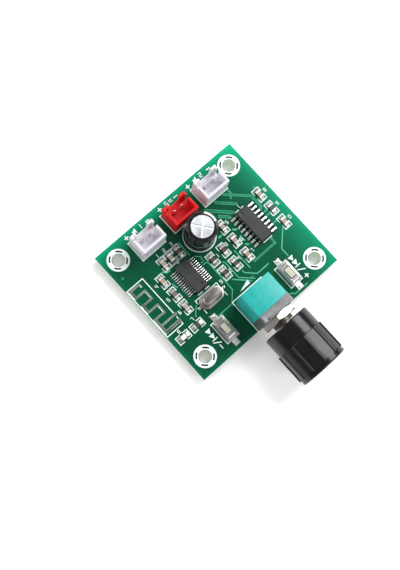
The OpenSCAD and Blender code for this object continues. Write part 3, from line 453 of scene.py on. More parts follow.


# Antenna: the folded copper track, left bare of mask and dull tinned. The tin stands up along the edges as
# a pale rim, and lies lower between them, coloured dark grey.
def dull_tin(name, base, second):
    return dappled(name, base, second, 0.9, 1.0, rough=0.42, grain=(0.35, 1.0, 0.4, 0.03), Metallic=0.7)


rim_w, tin_drop = 0.11, 0.03
antenna_shape = cad_shape("antenna_track")
tin_top = [f for f in antenna_shape.faces if f.normal.z > 0.9]
bmesh.ops.inset_region(antenna_shape, faces=tin_top, thickness=rim_w * MM, depth=-tin_drop * MM,
                       use_even_offset=True)
for f in tin_top:
    f.material_index = 1
piece("tinned_antenna", antenna_shape,
      [dull_tin("tin_rim", (0.62, 0.68, 0.62), (0.42, 0.50, 0.44)),
       dull_tin("dark_middle_tin", (0.10, 0.13, 0.115), (0.17, 0.21, 0.185))],
      "module", "tinned_copper", "antenna_track", smooth=0)

# Solder: every surface terminal sits on a tinned pad with a hollow-faced fillet against its end,
# and every lead that comes through the board is held by a cone on the underside.
random.seed(4)
solder_shape = bmesh.new()


def fillet(shape, at, out, half_w, inner, end, reach, rise):
    """A pad of solder on the board: out is the direction away from the part. It is flat under the
    terminal from inner to end, climbs rise up the terminal's face at end, and runs out at reach."""
    out = Vector(out)
    side = Vector((-out.y, out.x))
    across = [-1, -0.9, -0.6, -0.2, 0.2, 0.6, 0.9, 1]
    steps = [inner, (inner + end) / 2, end - 0.005]
    steps += [end + t * (reach - end) for t in (0, 0.1, 0.25, 0.45, 0.7, 0.9)]
    lean = random.uniform(-0.05, 0.05)
    swell = random.uniform(0.85, 1.15)
    grid = []
    for along in steps + [reach]:
        row = []
        for u in across:
            edge = 1 - abs(u) ** 4
            height = 0.046
            if along >= end:
                t = (along - end) / (reach - end)
                hollow = (1 - t) ** 2.4 * rise * swell * (0.75 + 0.25 * edge)
                height = (0.02 + hollow + 0.055 * edge * (1 - t ** 6)) * (0.25 if abs(u) == 1 else 1)
            pull = 1
            if along == reach:
                height = 0
                pull = 1 - 0.10 * abs(u) ** 3
            spot = Vector(at) + out * along + side * (u * half_w * pull + lean * 0.1 * (along - end))
            row.append((spot.x, spot.y, board_top + height))
        grid.append(points(shape, row))
    near, far = ([shape.verts.new((v.co.x, v.co.y, board_top * MM)) for v in row]
                 for row in (grid[0], grid[-1]))
    for a, b in zip(grid, grid[1:]):
        for k in range(len(across) - 1):
            shape.faces.new((a[k], a[k + 1], b[k + 1], b[k]))
    shape.faces.new([row[0] for row in grid] + [far[0], near[0]])
    shape.faces.new([row[-1] for row in reversed(grid)] + [near[-1], far[-1]])
    shape.faces.new(near + grid[0][::-1])
    shape.faces.new(grid[-1] + far[::-1])
    shape.faces.new((near[0], far[0], far[-1], near[-1]))


CERAMICS = ["row_capacitor_left", "row_capacitor_middle", "row_capacitor_right", "edge_capacitor_upper",
            "edge_inductor", "edge_capacitor_lower", "input_capacitor_1", "input_capacitor_2",
            "input_capacitor_3", "output_capacitor_upper", "output_capacitor_lower"]
FILMS = ["led_resistor", "input_resistor_1", "input_resistor_2", "input_resistor_3", "input_resistor_4",
         "output_resistor"]
part_end, part_half_w = 1.0, 0.625
for node in CERAMICS + FILMS + ["status_led"]:
    low, high = box_of(node)
    for sign in (-1, 1):
        out = (0, sign) if high[1] - low[1] > high[0] - low[0] else (sign, 0)
        fillet(solder_shape, middle_of(node), out, part_half_w + 0.04, part_end - 0.48, part_end,
               part_end + 0.68, 0.5 * (high[2] - board_top))
# These chip-part fillets take the second finish, a duller copy of the solder painted darker as shade.
for pad in solder_shape.faces:
    pad.material_index = 1


def lead_row(chip, count, pitch):
    """The middle of the chip at each of its leads."""
    x, y = middle_of(chip)
    return [(x, y + (k - (count - 1) / 2) * pitch) for k in range(count)]


for row, half_w in ((AMPLIFIER_ROW, 0.29), (BLUETOOTH_ROW, 0.135)):
    for sign in (-1, 1):
        for at in lead_row(*row):
            fillet(solder_shape, at, (sign, 0), half_w, lead_out - 0.64, lead_out,
                   lead_out + lead_reach, 0.16)


def solder_dome(shape, x, y, radius, height=0.36):
    """A round blob of solder over the end of a tab."""
    turns = [t * math.pi / 2 for t in (0, 0.12, 0.28, 0.45, 0.62, 0.78, 0.92)]
    skinned(shape, [circle(shape, x, y, board_top + height * math.sin(t), radius * math.cos(t) ** 0.8, 28)
                    for t in turns])


crystal_tab, switch_tab = 4.22, 4.42
crystal_x, crystal_y = middle_of("crystal_can")
for sign in (-1, 1):
    solder_dome(solder_shape, crystal_x + sign * crystal_tab, crystal_y, 0.48)
    for node in ("previous_switch_base", "next_switch_base"):
        x, y = middle_of(node)
        fillet(solder_shape, (x, y), (0, sign), 0.85, 3.32, 4.9, 5.05, 0.14)
        solder_dome(solder_shape, x - 0.05, y + sign * switch_tab, 0.58)


def solder_cone(shape, x, y, foot, tip, length=1.1):
    """Solder round a lead under the board: a hollow-sided cone with a soft foot."""
    rings = []
    sway_x, sway_y = (random.uniform(-0.03, 0.03) for _ in range(2))
    for t in (0, 0.03, 0.08, 0.16, 0.28, 0.42, 0.58, 0.74, 0.88, 0.97, 1.0):
        radius = tip + (foot - tip) * (1 - t) ** 1.9 + 0.05 * math.sin(math.pi * min(1, t * 6)) * (t < 0.17)
        if t == 1.0:
            radius *= 0.8
        rings.append(circle(shape, x + sway_x * t, y + sway_y * t, -t * length, radius, 28))
    skinned(shape, rings)


HEADERS = ("left_output", "power", "right_output")
pin_pitch, can_pitch = 2.5, 3.5
can_x, can_y = middle_of("capacitor_can")
volume_x = middle_of("volume_housing")[0]
for header in HEADERS:
    x, y = middle_of(header + "_pins")
    for side in (-0.5, 0.5):
        solder_cone(solder_shape, x + side * pin_pitch, y, 0.95, 0.47)
for side in (-0.5, 0.5):
    solder_cone(solder_shape, can_x + side * can_pitch, can_y, 0.88, 0.4)
for gang_y in (-18.3, -15.1):
    for side in (-1, 0, 1):
        solder_cone(solder_shape, volume_x + side * pin_pitch, gang_y, 0.95, 0.48)
leg_out, leg_y = 4.25, -19.5
for side in (-1, 1):
    solder_cone(solder_shape, volume_x + side * leg_out, leg_y, 1.2, 0.7)


def soldered(name, base, second, rough):
    return dappled(name, base, second, 0.5, 0.8, rough=rough, grain=(0.25, 0.8, 0.2, 0.03), Metallic=1.0)


# The second finish is the same solder, duller and painted darker: painted shade.
piece("solder_fillets", solder_shape,
      [soldered("bright_solder", (0.90, 0.91, 0.89), (0.70, 0.72, 0.71), 0.32),
       soldered("dull_shaded_solder", (0.60, 0.62, 0.61), (0.38, 0.40, 0.40), 0.42)],
      "module", "solder", "solder_joints", smooth=60)


# Wire headers: nylon housings moulded in one piece, a white one on each side for the outputs and
# a red one between them for the power, standing on the board and held by their pins.
def rounded(thing, width, steps, angle):
    """Rounds the edges of a piece where its faces meet at more than angle, in degrees."""
    rounding = thing.modifiers.new("rounded_edges", "BEVEL")
    rounding.width = width * MM
    rounding.segments = steps
    rounding.limit_method = "ANGLE"
    rounding.angle_limit = math.radians(angle)
    return rounding


def softened(node, name, finish, slot_name, width, steps=2, body="module"):
    """A copy of a CAD part with its edges rounded by width, which then stands for it."""
    thing = piece(name, cad_shape(node), [finish], body, slot_name, node, smooth=30)
    rounding = rounded(thing, width, steps, 30)
    rounding.harden_normals = True
    rounding.miter_outer = "MITER_ARC"


def nylon(name, base, second):
    return dappled(name, base, second, 2.2, 0.6, rough=0.42, grain=(0.09, 0.7, 0.12, 0.01),
                   Specular_IOR_Level=0.35, Subsurface_Weight=0.12, Subsurface_Scale=0.6 * MM,
                   Subsurface_Radius=(1.0, 0.6, 0.5))


nylons = {"white_nylon": nylon("white_nylon", (0.74, 0.725, 0.775), (0.67, 0.65, 0.71)),
          "red_nylon": nylon("red_nylon", (0.70, 0.003, 0.008), (0.54, 0.002, 0.006))}
for header, slot_name in zip(HEADERS, ("white_nylon", "red_nylon", "white_nylon")):
    softened(header + "_header", header + "_housing", nylons[slot_name], slot_name, 0.18, 3)

# Header pins: square tinned brass wire, cut with a pointed end. They are pressed through the
# housing, two to each, and soldered under the board.
tinned = dappled("tinned_wire", (0.90, 0.90, 0.88), (0.70, 0.69, 0.66), 0.6, 0.7, rough=0.36,
                 grain=(0.1, 0.5, 0.2, 0.01), Metallic=1.0)
for header in HEADERS:
    softened(header + "_pins", header + "_wires", tinned, "tinned_pin", 0.05)


# Can capacitor: a drawn aluminium can, scored with a cross on top so that it can vent, in a black
# shrink sleeve that curls over the rim, with a pale stripe beside the negative lead.
def turned(profile, x, y, foot, count):
    """A new shape with rings of points for a profile of (radius, height above foot)."""
    shape = bmesh.new()
    return shape, [circle(shape, x, y, foot + height, radius, count) for radius, height in profile]


can_r, can_h = 3.88, 9.8
can_profile = [(0.055 * k, can_h) for k in range(62)]
can_profile += [(3.43, can_h), (3.6, can_h - 0.03), (3.76, can_h - 0.13), (3.85, can_h - 0.28),
                (can_r, can_h - 0.48), (can_r, 2.1), (3.82, 1.86), (3.66, 1.72), (3.6, 1.6), (3.66, 1.48),
                (3.82, 1.34), (can_r, 1.1), (can_r, 0.42), (3.8, 0.35), (3.62, 0.35), (3.58, 0.42),
                (3.58, 1.1), (3.0, 1.3), (0.0, 1.3)]
can_shape, rings = turned(can_profile, can_x, can_y, board_top, 300)
skinned(can_shape, rings, ends=False)
score_half, score_len = 0.19, 2.85
for v in can_shape.verts:
    x, y, z = v.co / MM
    if z < board_top + can_h - 0.001:
        continue
    for angle, depth in ((-53, 0.03), (43, 0.055)):
        a = math.radians(angle)
        off = abs((y - can_y) * math.cos(a) - (x - can_x) * math.sin(a))
        along = abs((x - can_x) * math.cos(a) + (y - can_y) * math.sin(a))
        if along < score_len and off < score_half:
            v.co.z -= depth * MM * (1 + math.cos(math.pi * off / score_half))
aluminium = dappled("can_aluminium", (0.74, 0.75, 0.77), (0.60, 0.62, 0.64), 1.8, 0.8, rough=0.38,
                    grain=(0.08, 0.8, 0.2, 0.01), Metallic=1.0)
piece("vented_can", can_shape, [aluminium], "module", "can_aluminium", "capacitor_can")

sleeve_profile = [(can_r + 0.005, 0.28), (3.97, 0.24), (4.0, 0.4), (4.0, 1.12), (3.93, 1.36), (3.79, 1.5),
                  (3.74, 1.6), (3.79, 1.7), (3.93, 1.86), (4.0, 2.1), (4.0, 5.0), (4.0, can_h - 0.5),
                  (3.97, can_h - 0.26), (3.87, can_h - 0.06), (3.7, can_h + 0.06), (3.45, can_h + 0.115),
                  (3.15, can_h + 0.12), (3.0, can_h + 0.10), (2.95, can_h + 0.03), (2.98, can_h + 0.005),
                  (3.4, can_h + 0.005), (3.62, can_h - 0.02), (3.79, can_h - 0.12), (3.865, can_h - 0.28),
                  (can_r + 0.008, can_h - 0.48), (can_r + 0.005, 2.1), (can_r + 0.005, 1.0)]
sleeve_shape, rings = turned(sleeve_profile, can_x, can_y, board_top, 200)
skinned(sleeve_shape, rings + rings[:1], ends=False)
# The film gathers in faint pleats where it curls over the rim.
can_axis = Vector((can_x, can_y)) * MM
for ring, (radius, height) in zip(rings, sleeve_profile):
    if height >= can_h - 0.02:
        for v, a in zip(ring, around(len(ring))):
            pleat = 1.0 + 0.004 * math.sin(13 * a + 0.7 * math.sin(3 * a)) + 0.002 * math.sin(29 * a)
            v.co.xy = can_axis + (v.co.xy - can_axis) * pleat

stripe_from, stripe_turn, stripe_half, dash_half = 3.3, 11.5, 29.5, 9.5
dash_gap, dash_w, dash_shift = 1.3, 0.25, 0.3
sleeve_film, wires, surface = finish_of("sleeve_film", Specular_IOR_Level=0.4)
spot = wires.split(wires.here())
x, y = (wires.math("SUBTRACT", spot[axis], middle * MM) for axis, middle in (("X", can_x), ("Y", can_y)))
angle = wires.math("ARCTAN2", y, x)
outside = wires.math("GREATER_THAN", wires.squares(x, y), (stripe_from * MM) ** 2)
stripe = wires.times(outside, wires.within(angle, math.radians(stripe_turn), math.radians(stripe_half)))
dash_run = wires.math("PINGPONG", wires.math("ADD", spot["Z"], dash_shift * MM), dash_gap * MM)
dash = wires.times(wires.math("LESS_THAN", dash_run, dash_w * MM),
                   wires.within(angle, math.radians(stripe_turn), math.radians(dash_half)))
pale = wires.times(stripe, wires.math("SUBTRACT", 1.0, dash))
dyed = mottled(wires, (0.006, 0.006, 0.007), (0.016, 0.016, 0.018), 2.5, 0.6)
printed = mottled(wires, (0.72, 0.74, 0.74), (0.60, 0.62, 0.63), 1.6, 0.7)
wires.feed(surface["Base Color"], wires.mix(pale, dyed, printed))
textured(wires, surface, 0.13, 0.4, 0.5, 0.08, 0.02)
piece("shrink_sleeve", sleeve_shape, [sleeve_film], "module", "shrink_sleeve", "capacitor_sleeve")

# Inside the can: a rubber bung that the rolled rim grips and seals, two tinned leads through it,
# and the wound foil and paper that they carry.
rubber = dappled("bung_rubber", (0.025, 0.025, 0.025), (0.042, 0.041, 0.040), 0.8, 0.8, rough=0.75,
                 grain=(0.1, 1.0, 0.2, 0.02))
softened("capacitor_bung", "rubber_bung", rubber, "bung_rubber", 0.08)
foil, wires, surface = finish_of("wound_foil")
lap = wires.add("ShaderNodeTexWave", {"Vector": wires.here(), "Scale": 900.0, "Distortion": 1.5},
                bands_direction="Z").outputs["Fac"]
wires.feed(surface["Base Color"], wires.mix(lap, (0.66, 0.58, 0.45), (0.48, 0.40, 0.29)))
textured(wires, surface, 0.8, 0.2, 0.8, 0.1, 0.02)
softened("capacitor_winding", "foil_winding", foil, "wound_foil", 0.15)
softened("capacitor_leads", "can_leads", tinned, "tinned_pin", 0.05)


# Chips: black epoxy mouldings with drafted sides, a dished dot beside lead one, and the marking area left
# bare. The dot's floor is glossier and painted a little darker than the epoxy, the darkness as painted
# shade. The epoxy is grey where the light rakes it.
def stacked(centre, loops):
    """A new shape with rings of points for rounded rectangles, each given as half width, half
    length, corner, height above the board and, if it has one, its shift from the centre."""
    shape = bmesh.new()
    rings = []
    for half_w, half_l, corner, height, *aside in loops:
        x, y = Vector(centre) + Vector(aside[0] if aside else (0, 0))
        rings.append(points(shape, [
            (x + turn_x * (half_w - corner) + corner * math.cos(a),
             y + turn_y * (half_l - corner) + corner * math.sin(a), board_top + height)
            for turn_x, turn_y, start in ((1, 1, 0), (-1, 1, 90), (-1, -1, 180), (1, -1, 270))
            for a in (math.radians(start + 15 * step) for step in range(7))]))
    return shape, rings


epoxy = dappled("chip_epoxy", (0.027, 0.027, 0.030), (0.044, 0.044, 0.049), 1.4, 0.8, rough=0.5,
                grain=(0.06, 1.0, 0.15, 0.012), Specular_IOR_Level=0.38)
glossy_shaded_dish = dappled("glossy_shaded_dish", (0.022, 0.022, 0.025), (0.038, 0.038, 0.042), 0.5, 0.8, rough=0.25,
                     grain=(0.1, 0.5, 0.1, 0.01))
CHIP_SIDE = [(0.1, 1.43), (0.0, 0.875), (0.0, 0.675), (0.115, 0.08), (0.13, 0.03), (0.16, 0.005),
             (0.2, 0.0), (0.23, 0.0)]
CHIP_DISH = [(0.50, 0.0), (0.46, 0.0), (0.44, 0.02), (0.41, 0.09), (0.36, 0.10), (0.18, 0.11),
             (0.05, 0.112)]
for name, chip, dish in (("amplifier_moulding", "amplifier_chip", (-0.88, 4.05)),
                         ("bluetooth_moulding", "bluetooth_chip", (0.6, -3.1))):
    low, high = box_of(chip)
    half_w, half_l, chip_h = (high[0] - low[0]) / 2, (high[1] - low[1]) / 2, high[2] - board_top
    loops = [(half_w - inset, half_l - inset, 0.1, chip_h - drop) for inset, drop in CHIP_SIDE]
    loops += [(radius, radius, radius, chip_h - drop, dish) for radius, drop in CHIP_DISH]
    shape, rings = stacked(middle_of(chip), loops)
    skinned(shape, rings)
    shape.normal_update()
    # The dish's floor takes the glossy copy of the epoxy, painted a little darker as shade.
    for f in shape.faces:
        f.material_index = int(f.calc_center_median().z < (high[2] - 0.03) * MM and f.normal.z > 0.9)
    piece(name, shape, [epoxy, glossy_shaded_dish], "module", "chip_epoxy", chip, smooth=30)


# Chip leads: stamped from tinned copper strip, and bent down in two soft curves to flat feet that
# are soldered to their pads.
def bent_lead(shape, at, sign, path, width, thick):
    """Sweeps a strip of the given width and thickness along path, a list of (out, up)."""
    soft = []
    for k, spot in enumerate(path):
        spot = Vector(spot)
        if 0 < k < len(path) - 1:
            before, after = Vector(path[k - 1]), Vector(path[k + 1])
            near = min(0.12, (before - spot).length / 2, (after - spot).length / 2)
            start = spot + (before - spot).normalized() * near
            end = spot + (after - spot).normalized() * near
            soft += [start * (1 - t) ** 2 + spot * 2 * t * (1 - t) + end * t ** 2
                     for t in (0, 0.25, 0.5, 0.75, 1)]
        else:
            soft.append(spot)
    rows = []
    for k, spot in enumerate(soft):
        ahead = soft[min(k + 1, len(soft) - 1)] - soft[max(k - 1, 0)]
        half = Vector((-ahead.y, ahead.x)).normalized() * thick / 2
        rows.append(points(shape, [
            (at[0] + sign * skin.x, at[1] + side * width / 2, seat + thick / 2 + skin.y)
            for skin, side in ((spot - half, -1), (spot - half, 1), (spot + half, 1), (spot + half, -1))]))
    for j, (a, b) in enumerate(zip(rows, rows[1:])):
        run = soft[j + 1] - soft[j]
        for k in range(4):
            f = shape.faces.new((a[k], a[(k + 1) % 4], b[(k + 1) % 4], b[k]))
            # Steep faces take the second finish, which on the amplifier's leads is a dark copy of the tin
            # as painted shade.
            f.material_index = int(abs(run.y) > 0.8 * abs(run.x))
    shape.faces.new(rows[0])
    shape.faces.new(rows[-1])


strip_tin = dappled("strip_tin", (0.88, 0.88, 0.87), (0.66, 0.66, 0.64), 0.6, 0.7, rough=0.22,
                    grain=(0.1, 0.5, 0.2, 0.01), Metallic=1.0)
# A dark copy of the tin for the steep faces of the amplifier's leads: painted shade.
shaded_slope_tin = dappled("shaded_slope_tin", (0.22, 0.22, 0.215), (0.15, 0.15, 0.145), 0.6, 0.7, rough=0.35,
                   grain=(0.1, 0.5, 0.2, 0.01), Metallic=1.0)
seat, shoulder = board_top + 0.05, 0.775
for name, node, row, width, thick, bend in (
        ("amplifier_feet", "amplifier_leads", AMPLIFIER_ROW, 0.38, 0.19, shaded_slope_tin),
        ("bluetooth_feet", "bluetooth_leads", BLUETOOTH_ROW, 0.23, 0.17, strip_tin)):
    lead_shape = bmesh.new()
    level = shoulder - thick / 2
    for sign in (-1, 1):
        for at in lead_row(*row):
            bent_lead(lead_shape, at, sign, [(1.75, level), (2.17, level), (2.46, 0.0), (lead_out, 0.0)],
                      width, thick)
    thing = piece(name, lead_shape, [strip_tin, bend], "module", "tinned_pin", node, smooth=40)
    rounded(thing, 0.03, 2, 50)

# Crystal: a can drawn from nickel plated steel, resistance welded to its flange, on a black base plate with
# a flat terminal out of each end. The top is left bare, and its flat face is painted darker than the sides
# as painted shade.
crystal_half, crystal_h = 1.65, 2.99
crystal_profile = [(2.0, 0.50), (2.0, 0.56), (1.985, 0.76), (1.93, 0.83), (1.84, 0.87), (1.6, 0.885),
                   (1.47, 0.91), (1.41, 0.97), (1.38, 1.08), (1.35, 1.5), (1.325, 2.0), (1.31, 2.4),
                   (1.29, 2.62), (1.25, 2.78), (1.18, 2.89), (1.09, 2.955), (1.01, crystal_h - 0.005),
                   (0.96, crystal_h), (0.92, 2.95), (0.86, 2.945), (0.83, 2.98), (0.79, crystal_h)]
crystal_shape = bmesh.new()
rings = []
for radius, height in crystal_profile:
    loop = []
    for a in around(64):
        across, along = math.cos(a), math.sin(a)
        aside = crystal_half * ((across > 1e-9) - (across < -1e-9))
        loop.append((crystal_x + aside + radius * across, crystal_y + radius * along, board_top + height))
    rings.append(points(crystal_shape, loop))
skinned(crystal_shape, rings)
# The flat top takes a darker copy of the nickel: painted shade.
for f in crystal_shape.faces:
    if f.calc_center_median().z > (board_top + crystal_h - 0.004) * MM:
        f.material_index = 1

# Streaks: fine lines along the way that a sheet was rolled or brushed, which change its colour
# and its roughness and can stand as height.
streaks, wires, take, give = effect(
    "rolled_streaks", [("Colour", COLOUR, (1, 1, 1, 1)), ("Second Colour", COLOUR, (1, 1, 1, 1)),
                       ("Stretch", "NodeSocketVector", (1, 1, 1)), ("Detail", NUMBER, 4.0),
                       ("Least Roughness", NUMBER, 0.3), ("Roughness Change", NUMBER, 0.1)],
    [("Colour", COLOUR), ("Roughness", NUMBER), ("Height", NUMBER)])
lines = wires.noise(wires.stretched(take["Stretch"]), 500.0, take["Detail"])
wires.feed(give["Colour"], wires.mix(lines, take["Colour"], take["Second Colour"]))
wires.feed(give["Roughness"], wires.math("ADD", wires.times(lines, take["Roughness Change"]),
                                         take["Least Roughness"]))
wires.feed(give["Height"], lines)


def streaked(name, base, second, stretch, detail, least, change):
    """Bare metal with streaks. Its wiring and sockets come with it for the height."""
    material, wires, surface = finish_of(name, Metallic=1.0)
    drawn = placed(wires, streaks, Colour=base, Second_Colour=second, Stretch=stretch, Detail=detail,
                   Least_Roughness=least, Roughness_Change=change)
    wires.feed(surface["Base Color"], drawn["Colour"])
    wires.feed(surface["Roughness"], drawn["Roughness"])
    return material, wires, surface, drawn["Height"]


along_can = (1.0, 9.0, 1.0)
piece("crystal_cover", crystal_shape,
      [streaked("drawn_nickel", (0.34, 0.31, 0.285), (0.52, 0.475, 0.44), along_can, 4.0, 0.31, 0.12)[0],
       streaked("shaded_top_nickel", (0.15, 0.14, 0.135), (0.28, 0.27, 0.26), along_can, 4.0, 0.30, 0.12)[0]],
      "module", "crystal_steel", "crystal_can", smooth=40)
black_moulding = dappled("black_moulding", (0.017, 0.017, 0.019), (0.027, 0.027, 0.030), 0.7, 0.8,
                         rough=0.5, grain=(0.08, 0.8, 0.2, 0.01))
softened("crystal_base", "crystal_foot", black_moulding, "black_moulding", 0.05)
softened("crystal_terminals", "crystal_tabs", tinned, "tinned_pin", 0.03)

# Push switches: pressed and brushed steel covers crimped over black mouldings. The cream plunger stands in
# the cover's window over a snap dome, and a tinned tab leaves each end.
brushed, wires, surface, lines = streaked("brushed_steel", (0.37, 0.355, 0.35), (0.53, 0.51, 0.505),
                                          (20.0, 1.0, 1.0), 6.0, 0.25, 0.14)
wires.feed(surface["Normal"], wires.bump(lines, 0.3, 0.005))
cream = dappled("cream_moulding", (0.54, 0.54, 0.43), (0.46, 0.45, 0.34), 0.8, 0.6, rough=0.45,
                grain=(0.08, 0.8, 0.15, 0.01), Subsurface_Weight=0.1, Subsurface_Scale=0.5 * MM)
spring = dappled("spring_steel", (0.72, 0.72, 0.72), (0.58, 0.57, 0.56), 0.9, 0.7, rough=0.15,
                 grain=(0.3, 0.4, 0.1, 0.01), Metallic=1.0)
COVER = [(1.60, 2.85, 0.15, 0.65), (1.75, 3.00, 0.28, 0.65), (1.75, 3.00, 0.28, 1.50),
         (1.735, 2.985, 0.28, 1.62), (1.69, 2.94, 0.27, 1.70), (1.61, 2.86, 0.25, 1.735),
         (1.50, 2.72, 0.25, 1.745), (1.42, 2.58, 0.25, 1.75), (1.37, 2.47, 0.28, 1.78),
         (1.32, 2.39, 0.30, 1.86), (1.26, 2.31, 0.30, 1.93), (1.18, 2.22, 0.28, 1.96),
         (1.08, 2.12, 0.25, 1.965), (1.01, 1.68, 0.12, 1.965), (0.965, 1.625, 0.10, 1.95),
         (0.94, 1.60, 0.10, 1.90), (0.94, 1.60, 0.10, 1.72), (1.60, 2.85, 0.15, 1.70),
         (1.60, 2.85, 0.15, 0.65)]
BUTTON = [(0.45, 0.45, 0.45, 0.86), (0.45, 0.45, 0.45, 1.33), (0.98, 1.78, 0.10, 1.35),
          (0.98, 1.78, 0.10, 1.45), (0.74, 1.39, 0.12, 1.47), (0.75, 1.40, 0.12, 1.6),
          (0.75, 1.40, 0.12, 2.38), (0.735, 1.385, 0.12, 2.45), (0.70, 1.35, 0.12, 2.488),
          (0.64, 1.29, 0.10, 2.5)]
SNAP_DOME = [(0.0, 0.30), (0.25, 0.288), (0.5, 0.245), (0.75, 0.165), (0.93, 0.075), (1.0, 0.02),
             (1.02, 0.0), (0.95, 0.0), (0.90, 0.03), (0.72, 0.115), (0.48, 0.19), (0.24, 0.228),
             (0.0, 0.24)]
for side in ("previous", "next"):
    centre = middle_of(side + "_switch_cover")
    shape, rings = stacked(centre, COVER)
    skinned(shape, rings, ends=False)
    bmesh.ops.remove_doubles(shape, verts=rings[0] + rings[-1], dist=0.001 * MM)
    piece(side + "_cover", shape, [brushed], "module", "pressed_steel", side + "_switch_cover", smooth=40)
    softened(side + "_switch_base", side + "_base", black_moulding, "black_moulding", 0.04)
    shape, rings = stacked(centre, BUTTON)
    skinned(shape, rings)
    piece(side + "_button", shape, [cream], side + "_plunger", "cream_moulding", side + "_switch_plunger",
          smooth=40)
    x, y = centre
    well = box_of(side + "_switch_dome")[0][2]
    shape, rings = turned(SNAP_DOME, x, y, well, 48)
    skinned(shape, rings, ends=False)
    dome = piece(side + "_snap_dome", shape, [spring], "module", "spring_steel", side + "_switch_dome")
    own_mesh(dome)
softened("switch_terminals", "switch_tabs", tinned, "tinned_pin", 0.03)

# Volume control: a teal moulding with a slightly rough skin behind a cast plate, clamped by the
# plate's two legs. Both stand on the board at its edge, on six tinned pins.
teal = dappled("teal_moulding", (0.012, 0.37, 0.335), (0.022, 0.48, 0.44), 1.2, 0.9, rough=0.42,
               grain=(0.14, 1.0, 0.2, 0.03))
softened("volume_housing", "teal_housing", teal, "teal_moulding", 0.18, 3)
cast = dappled("cast_plate", (0.30, 0.30, 0.31), (0.18, 0.183, 0.188), 1.3, 0.8, rough=0.42,
               grain=(0.18, 1.0, 0.25, 0.03), Metallic=0.9)
softened("volume_front_plate", "front_casting", cast, "cast_plate", 0.1)
softened("volume_pins", "volume_tabs", tinned, "tinned_pin", 0.03)

# Inside the volume control: ivory rotors moulded on the shaft, one for each channel, that carry
# bronze wipers over printed resistor cards.
ivory = dappled("rotor_moulding", (0.82, 0.79, 0.68), (0.74, 0.70, 0.58), 1.4, 0.7, rough=0.5,
                grain=(0.1, 0.6, 0.1, 0.01))
bronze = dappled("wiper_bronze", (0.74, 0.52, 0.25), (0.60, 0.40, 0.19), 0.8, 0.7, rough=0.3,
                 grain=(0.2, 0.5, 0.2, 0.01), Metallic=1.0)
card = dappled("resistor_card", (0.24, 0.13, 0.065), (0.17, 0.09, 0.045), 1.0, 0.8, rough=0.6,
               grain=(0.3, 0.8, 0.2, 0.02))
for node, finish in (("volume_rotors", ivory), ("volume_wipers", bronze), ("volume_wafers", card)):
    coated(node, finish)

# Bushing, nut and shaft: turned brass with bright nickel plate, and a turned aluminium shaft
# through them. The nut's corners are chamfered on both faces, and the thread runs out in front.
axis_z, face_y = board_top + 6.0, box_of("volume_front_plate")[0][1]
nut_flat, nut_t, nut_lean, nut_chamfer = 4.6, 1.8, math.radians(15), 0.18
thread_r, thread_pitch, thread_end = 2.95, 0.25, 2.88
bore_r, bush_back, bush_front = 2.06, -1.5, 2.9


def on_shaft(radius, angle, forward):
    """A place round the shaft: how far out, at what angle, and how far in front of the plate."""
    return volume_x + radius * math.cos(angle), face_y - forward, axis_z + radius * math.sin(angle)


def shaft_rings(shape, angles, levels, radius_at, start=0.0):
    """Rings of points round the shaft, whose radius depends on the angle and on the level."""
    return [points(shape, [on_shaft(radius_at(a, f), a, start + f) for a in angles]) for f in levels]


def nut_radius(angle, forward):
    sector = (angle - nut_lean + math.pi / 6) % (math.pi / 3) - math.pi / 6
    edge = min(forward, nut_t - forward)
    return min(nut_flat / math.cos(sector), nut_flat + 0.06 + edge * 1.9)


def nut_bore(angle, forward):
    return thread_r + (nut_chamfer if min(forward, nut_t - forward) < 0.01 else 0.0)


def thread_radius(angle, forward):
    if forward < nut_t - 0.2:
        return thread_r - 0.003
    phase = (forward / thread_pitch - angle / math.tau) % 1.0
    cut = 1 - abs(2 * phase - 1)
    fade = min(1.0, max(0.0, (thread_end - forward) / 0.08))
    return thread_r - 0.11 * cut - 0.12 * (1 - fade)


def bush_bore(angle, forward):
    return bore_r + (0.08 if forward > bush_front - 0.05 else 0.0)


def plated(name, rough):
    return dappled(name, (0.52, 0.485, 0.44), (0.42, 0.385, 0.34), 2.5, 0.7, rough=rough,
                   grain=(0.3, 0.3, 0.15, 0.004), Metallic=1.0)


nut_levels = [0.0, 0.03, 0.1, 0.2, 0.32, 0.5, 0.9, 1.3, 1.48, 1.6, 1.7, 1.77, nut_t]
nut_shape = bmesh.new()
outer = shaft_rings(nut_shape, around(144), nut_levels, nut_radius)
inner = shaft_rings(nut_shape, around(144), [0.0, 0.15, nut_t - 0.15, nut_t], nut_bore)
skinned(nut_shape, outer + inner[::-1] + outer[:1], ends=False)
piece("hex_nut", nut_shape, [plated("nut_plate", 0.42)], "module", "plated_brass", "volume_nut", smooth=28)

bush_levels = [bush_back, -1.4, 0.0, 1.5, 1.58] + [1.6 + thread_pitch / 8 * k for k in range(41)]
bush_shape = bmesh.new()
outer = shaft_rings(bush_shape, around(96), bush_levels + [bush_front], thread_radius)
inner = shaft_rings(bush_shape, around(96), [bush_back, -1.4, 2.78, bush_front], bush_bore)
skinned(bush_shape, outer + inner[::-1] + outer[:1], ends=False)
piece("threaded_bushing", bush_shape, [plated("thread_plate", 0.36)], "module", "plated_brass",
      "volume_bushing", smooth=30)

